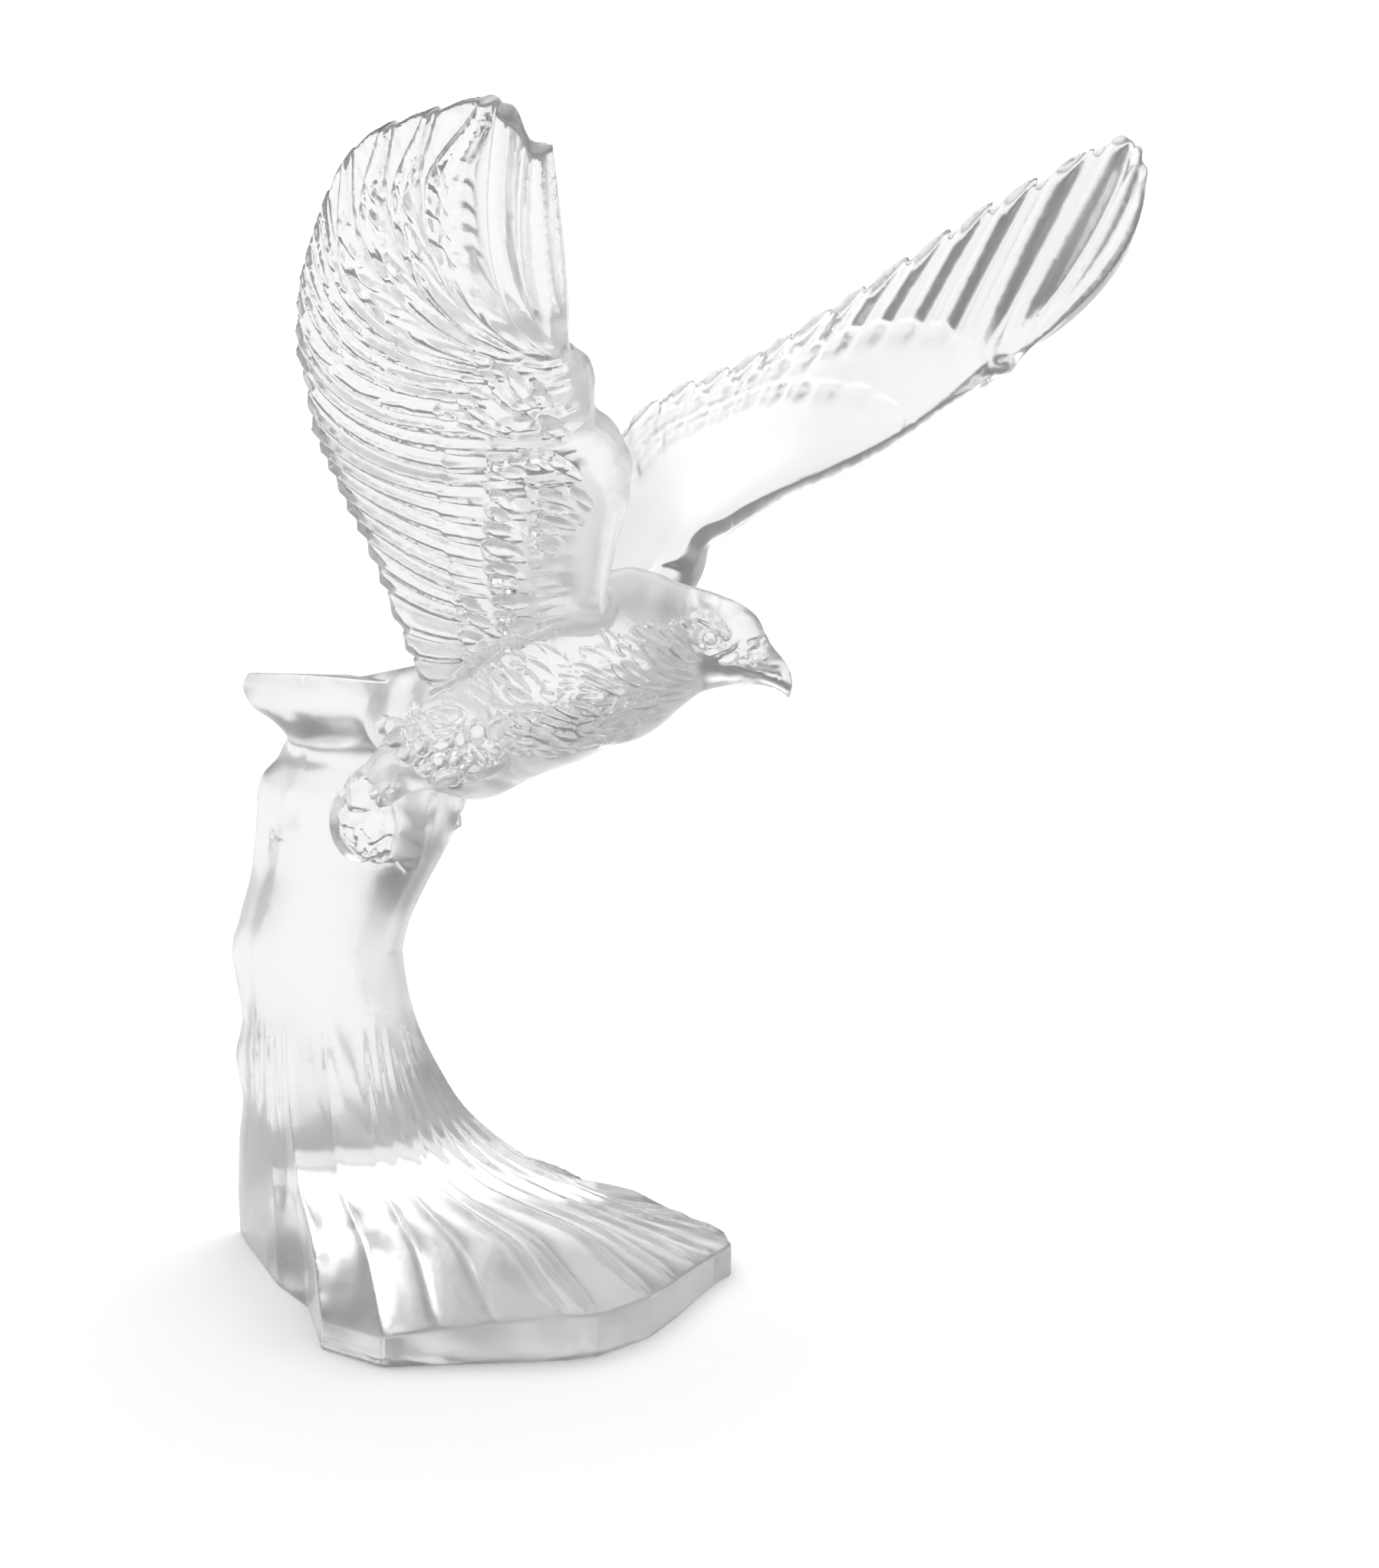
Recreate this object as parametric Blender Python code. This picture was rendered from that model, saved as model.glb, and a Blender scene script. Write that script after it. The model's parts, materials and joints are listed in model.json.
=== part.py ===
"""Crystal eagle cast in one piece: wings raised, tail spread, feet clenched on a wave-shaped rock.

The rock rises from a low many-sided base. Its back is upright, and its front sweeps down and out to the
rim in long flutes. The eagle leans off its top with its head turned to its left.
Origin: the middle of the base, on the floor. +X is where the bird flies, +Y its left, +Z up.
"""
import math

import bmesh
import bpy
from mathutils import Vector

MM = 0.001

# Driving dimensions, in millimetres
BASE_LENGTH = 179.0        # base, from its back point to its front corners
BASE_WIDTH = 168.0         # base, from side to side
RIM_HEIGHT = 12.0          # upright rim round the base, on a plain ridge
ROCK_HEIGHT = 165.5        # floor to the top of the rock, where the belly rests
BIRD_HEIGHT = 235.5        # top of the rock to the higher wing tip
FLUTE_DEPTH = 2.3          # hollow between two ridges of the rock
SCOOP_DEPTH = 2.0          # chip cut from the rock below the tail, on each side
SCOOP_RADIUS = 24.0        # how round that chip is
WING_THICKNESS = 6.0       # one wing, halfway along a flight feather
TIP_THICKNESS = 4.0        # one wing, at the feather tips
ARM_THICKNESS = 15.0       # one wing, along the arm bone
THINNEST_WING = 2.2        # one wing, at the bottom of any groove
FEATHER_DEPTH = 1.7        # groove between two flight feathers
COVERT_STEP = 1.3          # step where a row of covering feathers ends
SCALE_DEPTH = 1.1          # small round feathers on the breast
EYE_DIAMETER = 4.6
CLAW_THICKNESS = 4.8       # one toe of a clenched foot, where it leaves the foot
CLAW_SUNK = 0.7            # how deep the middle of a toe lies in the foot

FLIGHT_FEATHERS = 24       # on each wing
BODY_SIDES = 20            # columns of faces round the body

# Ridges of the rock, round from the back: the foot on the rim (x, y), the height of the rim there, how
# much the ridge humps before it falls to the rim, and its place (x, y) on the upright column
RIDGES = (
    (-90, 1, 15, 0.0, -87, 0), (-71, -17, 15, 0.0, -67, -18), (-33, -52, 13, 0.6, -61, -19),
    (6, -87, 12, 1.0, -54, -19.5), (32, -90, 12, 1.0, -44, -18), (58, -70, 13, 1.0, -35, -15),
    (84, -47, 14, 1.0, -27, -10), (89, -21, 13.5, 0.8, -25, -7), (86.5, -1, 13, 0.4, -24, -3),
    (83, 20, 12, 0.0, -24, 2), (81, 46, 11, -0.4, -25, 8), (71, 59, 10, -0.7, -28, 11),
    (54, 69, 8.5, -0.9, -35, 15), (30, 77, 11, -0.6, -44, 18), (6, 78, 11, 0.0, -54, 19.5),
    (-22, 66, 12, 0.3, -61, 19), (-49, 53, 13, 0.2, -66, 18), (-81, 25, 15, 0.0, -73, 12),
)
# The sweep from rim to column: share of the way out, height on a plain ridge, height on a humped one
SWEEP = (
    (1.0, 12, 14), (0.86, 18, 23), (0.72, 23, 30.5), (0.5, 30, 33.5), (0.33, 37.5, 36.5), (0.2, 48, 44.5),
    (0.12, 60, 56), (0.06, 74, 69), (0.02, 90, 86), (0.0, 108, 108),
)
# Rock and tail above the sweep: height, back (x), front (x), half width, narrowing towards the bird
COLUMN = (
    (108, -87, -25, 19.5, 0.0), (118, -84.5, -22, 19.5, 0.0), (129, -81, -16.5, 19.5, 0.0),
    (142, -79, -9, 20, 0.0), (150, -78, -4.5, 20, 0.0), (158, -77.5, -1.5, 20, 0.0),
    (165, -75, -0.5, 20, 0.05), (171, -69, 0, 19.5, 0.1), (176, -66, -2, 19.5, 0.15),
    (181, -63.5, -4, 21, 0.18), (186, -67, -6, 24, 0.25), (190, -74, -8, 25, 0.28),
    (196, -78, -10, 25, 0.28), (201, -75.5, -12, 24, 0.28),
)
COLUMN_FOOT = 0.1          # share of the way out where the side of the column turns into the sweep
HOLLOW_SHAPE = (1.15, 0.7) # where along the sweep the hollows start, and how far they lean to the column
ROCK_HEART = (-52, 0)      # the line (x, y) that the hollows on the side of the column sink towards
SCOOP = (-54, 20, 163)     # the rock's side where the chip below the tail is deepest
TAIL_CROWN = (-40, 0, 202)
TAIL_ROLL = 0.22           # how steeply the tail turns its upper face away
TAIL_ROLL_HEIGHTS = (176, 190)    # where that roll starts, and where it is full
TAIL_END = (5.0, 0.32, 3.0)       # how far its end bows out, share of its length at its corners, droop

# Body and head along the spine: top (s, z), bottom (s, z), half width. s runs forward from above the
# base's middle, and round the turn of the neck
BODY = (
    (-50, 198, -48, 192, 10), (-34, 202, -36, 182, 14), (-8, 209, -12, 171, 20), (10, 215, 12, 165.5, 25),
    (26, 225, 32, 174.7, 27), (42, 235, 48, 181.3, 28), (56, 243, 61, 187.7, 27), (68, 246.5, 71, 191, 23),
    (78, 245, 79, 196, 18), (85, 242.3, 86, 202.5, 14), (92, 240.3, 92, 207, 11.5),
    (99, 238, 98.5, 208.8, 10.5), (105.3, 235, 104, 209.6, 9.5), (110, 230.8, 108.3, 209.5, 7.6),
    (112.8, 225.6, 111.5, 209.3, 5.4), (115, 221.4, 113.8, 208.8, 4.6), (118.2, 217.8, 116.3, 208, 3.8),
    (120.4, 214, 118, 207, 2.9), (121.4, 210, 119.3, 206, 2.0),
)
SCALED = (2, 8, 0.5)       # first and last ring of the body with scales, and how far up its side they reach
BEAK_TIP = (120.4, 204.8)
NECK_BEND = (63.0, 45.0, 30.0)    # where the spine leaves the middle plane, its radius, its turn in degrees
EYE = (95.8, 9.4, 223.8)   # along the spine, out to the side, up

# A wing is ruled from a line of feather roots, over a line that bends the feathers, to a line of tips.
# Each row: share of the way from the body to the outermost feather, root, bend, tip
NEAR_WING = (
    (-0.08, (70, -4, 236), (28, 4, 204), (8, -6, 199)),
    (0.0, (74, -22, 243), (34, -9, 210), (6, -20, 203)),
    (0.19, (95, -46, 275), (41, -38, 235), (6, -55.5, 260)),
    (0.27, (102, -54, 286), (40, -50, 252), (6, -67.5, 276)),
    (0.34, (101, -62, 299), (38, -60, 264), (6, -75.5, 288)),
    (0.42, (99, -70, 305), (32, -67, 274), (8.5, -86.5, 301)),
    (0.5, (102, -76, 313), (20, -74, 284), (12, -95, 317)),
    (0.577, (103, -78.5, 318), (16, -80, 294), (17, -105, 330)),
    (0.69, (103, -81, 322), (22, -89, 308), (31, -120, 354)),
    (0.81, (101, -83.5, 324), (34, -98, 323), (59, -136, 386)),
    (0.9, (100.5, -85.5, 325), (48, -104, 335), (95, -146, 398.5)),
    (0.95, (100, -87, 326), (77, -106, 339), (119, -151, 401)),
    (0.975, (101, -88, 326), (92, -106, 340), (126, -149, 390)),
    (1.0, (101, -88, 327), (111, -103, 342), (132, -146, 388.5)),
)
FAR_WING = (
    (-0.08, (71, 4, 236), (40, 0, 212), (10, 4, 200)),
    (0.0, (79, 20.5, 240), (46, 14, 232), (12, 22, 214)),
    (0.28, (81, 29.5, 250), (64, 36, 267), (34, 66, 285.5)),
    (0.43, (84, 38, 254), (76, 52, 283), (67, 90, 306)),
    (0.53, (93, 52, 262), (91, 66, 292), (85, 105, 320)),
    (0.63, (105.5, 72, 269.5), (100, 85, 298), (105, 122, 337)),
    (0.73, (116.5, 88, 278), (117, 102, 305), (127, 140, 355)),
    (0.86, (134, 112, 296), (145, 123, 325), (156, 158, 373)),
    (0.93, (138, 120, 300.5), (171, 128.5, 341), (167, 163, 375)),
    (1.0, (139, 122, 302), (190.5, 129, 334), (172, 160, 363)),
)
WING_ROWS = (0.0, 0.06, 0.14, 0.24, 0.34, 0.38, 0.52, 0.56, 0.76, 0.92, 1.0)
COVERT_ENDS = (0.36, 0.54)
# Shares of a wing's reach from root to tip, or of its length from the body to the outermost feather
ARM_LINE = (0.1, 0.17)     # reach at the middle of the arm bone, and half of the bone's width
HAND = (0.42, 0.72, 0.3)   # length where the arm starts and stops thinning, and what is left of it there
LEADING_EDGE = (0.45, 0.055)      # share of the thickness at the very edge, and reach where it is full
GROOVES = (0.14, 0.44)     # reach where the grooves start, and where they are full
CREST = 0.4                # share of a feather's width from its edge to its crest
LAST_ENDING = 0.6          # how far the outermost feather's outer edge is from a notch to a crest
NEAR_NOTCH = 0.05          # notch between two feather ends, as a share of the reach
FAR_NOTCH = 0.09
OUTER_NOTCH = (0.7, 0.35)  # length where the outer feathers start, and how much of the notch they keep

# Leg on the near side: centre (x, y, z) and radius along thigh and shank
LEG = (
    (34, -12, 196, 12), (22, -17, 191, 14), (8, -20, 185, 12.5), (-4, -21, 179, 10), (-12, -21, 173, 8),
    (-19, -21, 167, 8), (-21, -21, 161, 5),
)
FOOT = (-19, -20.5, 158)
FOOT_RADII = (9.5, 7.5, 12.0)
TOE_PLACES = (-0.28, 0.2, 0.68)   # where the toes run, outwards, as shares of the foot's half width
TOE_BEND = (100, 40, 6)    # degrees where a toe starts, degrees between two of its stations, their number
TOE_TAPER = 0.12           # share of its thickness that a toe loses at each station

DRAWN_LENGTH = max(ridge[0] for ridge in RIDGES) - min(ridge[0] for ridge in RIDGES)
DRAWN_WIDTH = max(ridge[1] for ridge in RIDGES) - min(ridge[1] for ridge in RIDGES)
DRAWN_RIM = SWEEP[0][1]
DRAWN_ROCK = min(ring[3] for ring in BODY)
DRAWN_BIRD = max(row[3][2] for row in NEAR_WING) - DRAWN_ROCK
BIRD_SCALE = BIRD_HEIGHT / DRAWN_BIRD


def rock_point(x, y, z, out=1.0):
    """A point of the rock: on the rim the base sizes it, on the column, where out is 0, the bird does."""
    along = out * BASE_LENGTH / DRAWN_LENGTH + (1 - out) * BIRD_SCALE
    across = out * BASE_WIDTH / DRAWN_WIDTH + (1 - out) * BIRD_SCALE
    return Vector((x * along, y * across, z * ROCK_HEIGHT / DRAWN_ROCK))


def bird_point(point):
    """A point of the bird, which grows from the top of the rock."""
    x, y, z = point
    return Vector((x, y, z - DRAWN_ROCK)) * BIRD_SCALE + Vector((0, 0, ROCK_HEIGHT))


def share(value, low, high):
    """How far a value has come from low to high, from 0 to 1."""
    return min(1.0, max(0.0, (value - low) / (high - low)))


def follow(rows, at):
    """Smooth value between rows of (key, value...), for numbers and for points."""
    last = len(rows) - 1
    i = max(0, min(last - 1, sum(1 for row in rows if row[0] <= at) - 1))

    def value(j, k):
        item = rows[j][k]
        return Vector(item) if isinstance(item, tuple) else item

    def slope(j, k):
        before, after = max(j - 1, 0), min(j + 1, last)
        return (value(after, k) - value(before, k)) / (rows[after][0] - rows[before][0])

    span = rows[i + 1][0] - rows[i][0]
    t = (at - rows[i][0]) / span
    result = []
    for k in range(1, len(rows[0])):
        held = value(i, k) * (2 * t**3 - 3 * t**2 + 1) + value(i + 1, k) * (3 * t**2 - 2 * t**3)
        leaning = slope(i, k) * (t**3 - 2 * t**2 + t) + slope(i + 1, k) * (t**3 - t**2)
        result.append(held + leaning * span)
    return result


def closed_loft(name, rings, start=None, end=None):
    """A closed body over rings of points in millimetres; its ends close on a point."""
    mesh = bmesh.new()
    loops = [[mesh.verts.new(point * MM) for point in ring] for ring in rings]
    count = len(rings[0])
    for lower, upper in zip(loops, loops[1:]):
        for k in range(count):
            nxt = (k + 1) % count
            mesh.faces.new((lower[k], lower[nxt], upper[nxt], upper[k]))
    for loop, centre, flip in ((loops[0], start, True), (loops[-1], end, False)):
        middle = centre or sum((v.co for v in loop), Vector()) / count / MM
        tip = mesh.verts.new(Vector(middle) * MM)
        for k in range(count):
            corner = (loop[k], loop[(k + 1) % count], tip)
            mesh.faces.new(corner[::-1] if flip else corner)
    return finish_body(name, mesh)


def finish_body(name, mesh):
    """Turn a closed bmesh into an object whose faces point out."""
    bmesh.ops.triangulate(mesh, faces=[face for face in mesh.faces if len(face.verts) > 4])
    bmesh.ops.recalc_face_normals(mesh, faces=mesh.faces)
    if mesh.calc_volume(signed=True) < 0:
        bmesh.ops.reverse_faces(mesh, faces=mesh.faces)
    data = bpy.data.meshes.new(name)
    mesh.to_mesh(data)
    mesh.free()
    body = bpy.data.objects.new(name, data)
    bpy.context.scene.collection.objects.link(body)
    return body


def rock_lines():
    """The ridges, each with the middle line of the facet behind it and how deep that line is hollowed."""
    lines = []
    for k, ridge in enumerate(RIDGES):
        following = RIDGES[(k + 1) % len(RIDGES)]
        lines.append((ridge, 0.0))
        lines.append((tuple((a + b) / 2 for a, b in zip(ridge, following)), FLUTE_DEPTH))
    return lines


def sweep_point(line, hollow, out, plain, humped):
    """A point of the sweep between rim and column."""
    x, y, rim, hump, column_x, column_y = line
    height = plain + (humped - plain) * hump
    if height and out == 1.0:
        height = rim * RIM_HEIGHT / DRAWN_RIM * DRAWN_ROCK / ROCK_HEIGHT
    place = rock_point(column_x, column_y, height, 0.0).lerp(rock_point(x, y, height), out)
    start, lean = HOLLOW_SHAPE
    depth = hollow * math.sin(math.pi * share(start * (1 - out), 0, 1) ** lean)
    if COLUMN_FOOT < out < 1.0:
        return place - Vector((0, 0, depth))
    inward = Vector((ROCK_HEART[0] - place.x, ROCK_HEART[1] - place.y, 0)).normalized()
    return place + inward * depth


def column_point(line, height, back_x, front_x, half, narrowing):
    """A point of the column, or of the tail above it."""
    along = share(line[4], RIDGES[0][4], COLUMN[0][2])
    x = back_x + along * (front_x - back_x)
    y = line[5] / COLUMN[0][3] * half * (1 - narrowing * along)
    if height < DRAWN_ROCK:
        return rock_point(x, y, height, 0.0)
    bow, corner, droop = TAIL_END
    rolled = share(height, *TAIL_ROLL_HEIGHTS)
    x -= bow * rolled * math.sin(math.pi * min(1.0, along / corner))
    return bird_point((x, y, height - rolled * (TAIL_ROLL * y + droop * (1 - along) ** 2)))


def make_rock():
    """Base, fluted column and tail plate: rings of ridges with a hollow between each two."""
    lines = rock_lines()
    rings = []
    for out, plain, humped in ((1.0, 0, 0),) + SWEEP:
        rings.append([sweep_point(line, hollow, out, plain, humped) for line, hollow in lines])
    for row in COLUMN[1:]:
        rings.append([column_point(line, *row) for line, hollow in lines])
    return closed_loft("rock", rings, Vector((0, 0, 0)), bird_point(TAIL_CROWN))


def spine_point(s, side, z):
    """A drawn point beside the spine, which bends to the bird's left at the neck."""
    start, radius, degrees = NECK_BEND
    reach = max(0.0, s - start)
    angle = min(math.radians(degrees), reach / radius)
    ahead = Vector((math.cos(angle), math.sin(angle), 0))
    left = Vector((-ahead.y, ahead.x, 0))
    bend = Vector((min(s, start) + radius * ahead.y, radius * (1 - ahead.x), z))
    return bend + ahead * (reach - radius * angle) + left * side


def make_body():
    """Rump, breast, neck, head and beak as one loft of ovals, scaled over the belly's sides."""
    rings = []
    for k, (top_s, top_z, low_s, low_z, half) in enumerate(BODY):
        ring = []
        for side in range(BODY_SIDES):
            angle = 2 * math.pi * side / BODY_SIDES
            rise = (1 + math.sin(angle)) / 2
            scaled = SCALED[0] <= k <= SCALED[1] and (side + k) % 2 and math.sin(angle) < SCALED[2]
            wide = half + (SCALE_DEPTH / BIRD_SCALE if scaled else 0)
            s = low_s + (top_s - low_s) * rise
            z = low_z + (top_z - low_z) * rise
            ring.append(bird_point(spine_point(s, wide * math.cos(angle), z)))
        rings.append(ring)
    return closed_loft("body", rings, None, bird_point(spine_point(BEAK_TIP[0], 0, BEAK_TIP[1])))


def make_ball(name, centre, radii, segments=10, rings=6):
    """A ball or egg at its place."""
    mesh = bmesh.new()
    bmesh.ops.create_uvsphere(mesh, u_segments=segments, v_segments=rings, radius=1.0)
    for vert in mesh.verts:
        offset = Vector(a * b for a, b in zip(vert.co, radii))
        vert.co = (centre + offset) * MM
    return finish_body(name, mesh)


def make_limb(name, path, sides=10):
    """A limb over (centre, radius) stations, square to its own path."""
    rings = []
    for k, (centre, radius) in enumerate(path):
        ahead, behind = path[min(k + 1, len(path) - 1)][0], path[max(k - 1, 0)][0]
        along = (ahead - behind).normalized()
        across = along.cross(Vector((0, 1, 0))).normalized()
        other = along.cross(across)
        ring = []
        for side in range(sides):
            angle = 2 * math.pi * side / sides
            ring.append(centre + (across * math.cos(angle) + other * math.sin(angle)) * radius)
        rings.append(ring)
    return closed_loft(name, rings)


def make_toe(centre, radii, side, place):
    """One toe, curled round the foot."""
    start, turn, count = TOE_BEND
    stations = []
    for step in range(count):
        bend = math.radians(start + turn * step)
        reach = math.cos(bend) * (radii[0] - CLAW_SUNK)
        rise = math.sin(bend) * (radii[2] - CLAW_SUNK)
        offset = Vector((reach, side * place * radii[1], rise))
        stations.append((centre + offset, CLAW_THICKNESS / 2 * (1 - TOE_TAPER * step)))
    return make_limb("toe", stations, 6)


def make_leg(side):
    """Thigh, shank and a clenched foot with three toes; side is -1 near, 1 far."""
    path = [(bird_point((x, -side * y, z)), radius * BIRD_SCALE) for x, y, z, radius in LEG]
    centre = bird_point((FOOT[0], -side * FOOT[1], FOOT[2]))
    radii = [radius * BIRD_SCALE for radius in FOOT_RADII]
    parts = [make_limb("leg", path), make_ball("foot", centre, radii)]
    return parts + [make_toe(centre, radii, side, place) for place in TOE_PLACES]


def wing_place(rows, along, out):
    root, bend, tip = follow(rows, along)
    return root * (1 - out) ** 2 + bend * (2 * out * (1 - out)) + tip * out**2


def wing_normal(rows, along, out):
    small = 0.01
    first, last = rows[0][0], 1.0
    a0, a1 = max(first, along - small), min(last, along + small)
    o0, o1 = max(0.0, out - small), min(1.0, out + small)
    sweep = wing_place(rows, a1, out) - wing_place(rows, a0, out)
    reach = wing_place(rows, along, o1) - wing_place(rows, along, o0)
    return sweep.cross(reach).normalized()


def wing_thickness(along, out):
    """Thick along the arm, thinner towards hand and tips, and a step thicker under each covering row."""
    arm_end, hand_start, hand_share = HAND
    boned = max(hand_share, 1 - share(along, arm_end, hand_start))
    arm = math.exp(-((out - ARM_LINE[0]) / ARM_LINE[1]) ** 2) * (ARM_THICKNESS - WING_THICKNESS) * boned
    vane = TIP_THICKNESS + (WING_THICKNESS - TIP_THICKNESS) * (1 - out) * 2
    steps = sum(COVERT_STEP for end in COVERT_ENDS if out < end)
    edge, full = LEADING_EDGE
    return (vane + arm) * (edge + (1 - edge) * share(out, 0, full)) + steps


def make_wing(name, rows, notch):
    """A curved plate, grooved between its feathers on both faces and stepped where the covering rows end."""
    stations = [(rows[0][0], 0.0)]
    for k in range(FLIGHT_FEATHERS):
        stations.append((k / FLIGHT_FEATHERS, 0.0))
        stations.append(((k + CREST) / FLIGHT_FEATHERS, 1.0))
    stations.append((1.0, LAST_ENDING))
    mesh = bmesh.new()
    sheets = []
    for face in (-1, 1):
        grid = []
        for along, crest in stations:
            column = []
            cut = notch * (1 - crest) * (1.0 if along < OUTER_NOTCH[0] else OUTER_NOTCH[1])
            for row in WING_ROWS:
                out = row * (1 - cut * row)
                groove = FEATHER_DEPTH * (1 - crest) * share(out, *GROOVES)
                thick = max(wing_thickness(along, out) / 2 - groove, THINNEST_WING / 2)
                place = bird_point(wing_place(rows, along, out))
                column.append(mesh.verts.new((place + wing_normal(rows, along, out) * face * thick) * MM))
            grid.append(column)
        sheets.append(grid)
    lower, upper = sheets
    wide, long = len(stations), len(WING_ROWS)
    for i in range(wide - 1):
        for j in range(long - 1):
            mesh.faces.new((lower[i][j], lower[i][j + 1], lower[i + 1][j + 1], lower[i + 1][j]))
            mesh.faces.new((upper[i][j], upper[i + 1][j], upper[i + 1][j + 1], upper[i][j + 1]))
    rim = [(i, 0) for i in range(wide)] + [(wide - 1, j) for j in range(1, long)]
    rim += [(i, long - 1) for i in range(wide - 2, -1, -1)] + [(0, j) for j in range(long - 2, 0, -1)]
    for (i, j), (p, q) in zip(rim, rim[1:] + rim[:1]):
        mesh.faces.new((lower[i][j], lower[p][q], upper[p][q], upper[i][j]))
    return finish_body(name, mesh)


def make_eyes():
    radius = EYE_DIAMETER / 2
    places = [bird_point(spine_point(EYE[0], side * EYE[1], EYE[2])) for side in (-1, 1)]
    return [make_ball("eye", place, (radius,) * 3, 8, 5) for place in places]


def make_scoops():
    """The two chips that hollow the rock below the tail."""
    scoops = []
    for side in (-1, 1):
        centre = rock_point(SCOOP[0], side * SCOOP[1], SCOOP[2], 0.0)
        centre.y += side * (SCOOP_RADIUS - SCOOP_DEPTH)
        scoops.append(make_ball("scoop", centre, (SCOOP_RADIUS,) * 3, 14, 9))
    return scoops


def crystal():
    """Cast lead crystal, etched to a satin finish."""
    material = bpy.data.materials.new("satin_crystal")
    material.use_nodes = True
    shader = material.node_tree.nodes["Principled BSDF"]
    shader.inputs["Base Color"].default_value = (0.90, 0.91, 0.91, 1)
    shader.inputs["Metallic"].default_value = 0.0
    shader.inputs["Roughness"].default_value = 0.45
    return material


def combine(body, others, operation):
    for other in others:
        other.hide_render = True
        other.display_type = "WIRE"
        joint = body.modifiers.new(other.name, "BOOLEAN")
        joint.operation = operation
        joint.solver = "EXACT"
        joint.object = other


def main():
    for thing in list(bpy.context.scene.objects):
        bpy.data.objects.remove(thing)
    eagle = make_rock()
    eagle.name = "eagle_sculpture"
    combine(eagle, make_scoops(), "DIFFERENCE")
    wings = [make_wing("near_wing", NEAR_WING, NEAR_NOTCH), make_wing("far_wing", FAR_WING, FAR_NOTCH)]
    combine(eagle, [make_body()] + wings, "UNION")
    combine(eagle, make_leg(-1) + make_leg(1) + make_eyes(), "UNION")
    eagle.data.materials.append(crystal())


if __name__ == "__main__":
    main()
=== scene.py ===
"""Crystal eagle sculpture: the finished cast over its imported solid, its satin crystal and a plain studio.

Every length in the tables below is in millimetres, in the solid's own frame: the origin is the middle of
the base on the floor, +X is where the bird flies, +Y is its left and +Z is up. Rock, body, wings and legs
are shaped one by one from plain primitives and fused into one cast. The small feathers are then carved into
its skin by the pixel of the photograph that each is seen at, on what the camera sees there.
"""

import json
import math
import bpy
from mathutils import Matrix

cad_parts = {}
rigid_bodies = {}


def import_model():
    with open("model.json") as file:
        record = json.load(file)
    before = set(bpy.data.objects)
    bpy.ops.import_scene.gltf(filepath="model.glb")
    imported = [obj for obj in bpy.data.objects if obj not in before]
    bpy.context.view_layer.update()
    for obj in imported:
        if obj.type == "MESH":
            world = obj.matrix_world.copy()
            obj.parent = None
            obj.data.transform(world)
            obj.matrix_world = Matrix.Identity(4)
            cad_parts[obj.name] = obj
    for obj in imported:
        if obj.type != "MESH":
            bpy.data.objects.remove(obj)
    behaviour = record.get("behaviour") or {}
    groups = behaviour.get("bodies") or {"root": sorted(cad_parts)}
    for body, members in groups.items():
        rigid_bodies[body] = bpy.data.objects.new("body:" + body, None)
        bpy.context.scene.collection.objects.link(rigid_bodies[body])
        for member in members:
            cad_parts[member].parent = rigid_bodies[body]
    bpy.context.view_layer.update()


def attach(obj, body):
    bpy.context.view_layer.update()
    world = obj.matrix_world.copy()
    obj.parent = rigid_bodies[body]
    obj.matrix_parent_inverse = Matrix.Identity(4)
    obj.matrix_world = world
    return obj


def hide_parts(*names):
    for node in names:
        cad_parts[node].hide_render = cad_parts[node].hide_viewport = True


bl_info = {
    "name": "Crystal Eagle Sculpture",
    "version": (1, 1, 0),
    "blender": (4, 5, 0),
    "location": "View3D > Sidebar > Eagle",
    "description": "Shapes, fuses and carves a cast crystal eagle and sets it in a plain studio",
    "category": "Add Mesh",
}

import bmesh
import bpy
import numpy as np
from mathutils import Vector

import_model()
MM = 0.001

# The photograph's frame in pixels, and the camera that sees the cast as it does
PHOTO = (1798, 2044)
SENSOR = 36.0
CAMERA_LENS = 98.63
CAMERA_TARGET = (75.3, 27.5, 172.0)
CAMERA_DISTANCE = 1400.0
CAMERA_TURN = math.radians(30)
CAMERA_RISE = math.radians(12)
CAMERA_SIGHT = 200.0    # metres, so that the whole floor is in sight

# Ridges of the rock, round from the back: foot on the rim (x, y), height of the rim there, how much the
# ridge humps before it falls to the rim, its place (x, y) on the upright column
RIDGES = (
    (-90, 1, 15, 0.0, -87, 0), (-82, -7, 15, 0.0, -80, -9), (-71, -17, 15, 0.0, -67, -17.8),
    (-45, -40, 13.5, 0.4, -62, -19), (-22.8, -54, 12.5, 0.8, -58, -19.4), (4, -85, 10, 1.0, -54, -19.5),
    (31, -90, 10.5, 1.0, -40, -17.3), (45, -80, 12.5, 1.0, -29, -11.8), (59.5, -69.5, 14, 1.0, -26.3, -9),
    (78, -55.5, 15.5, 1.0, -24.8, -5.5), (84.8, -47, 14.5, 1.0, -24.6, -4.5),
    (89.6, -23, 14, 0.9, -24.3, -3), (89.2, -19.5, 14, 0.8, -24.2, -2.4), (87.4, -3, 13, 0.5, -24, -0.5),
    (86.8, 1, 13, 0.4, -24, 0), (83.8, 18, 12, 0.1, -24, 2), (83.2, 22, 11.5, 0.0, -24, 2.6),
    (81.6, 33, 11, -0.2, -24.2, 4.4), (81, 46, 11, -0.4, -25, 8), (71, 59, 10, -0.7, -28, 11),
    (54, 69, 8.5, -0.9, -35, 15), (30, 77, 11, -0.6, -44, 18), (6, 78, 11, 0.0, -54, 19.5),
    (-22, 66, 12, 0.3, -61, 19), (-49, 53, 13, 0.2, -66, 18), (-81, 25, 15, 0.0, -73, 12),
)
# The ridges that stay sharp all the way up the column
SHARP_RIDGES = (2, 9)
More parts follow.
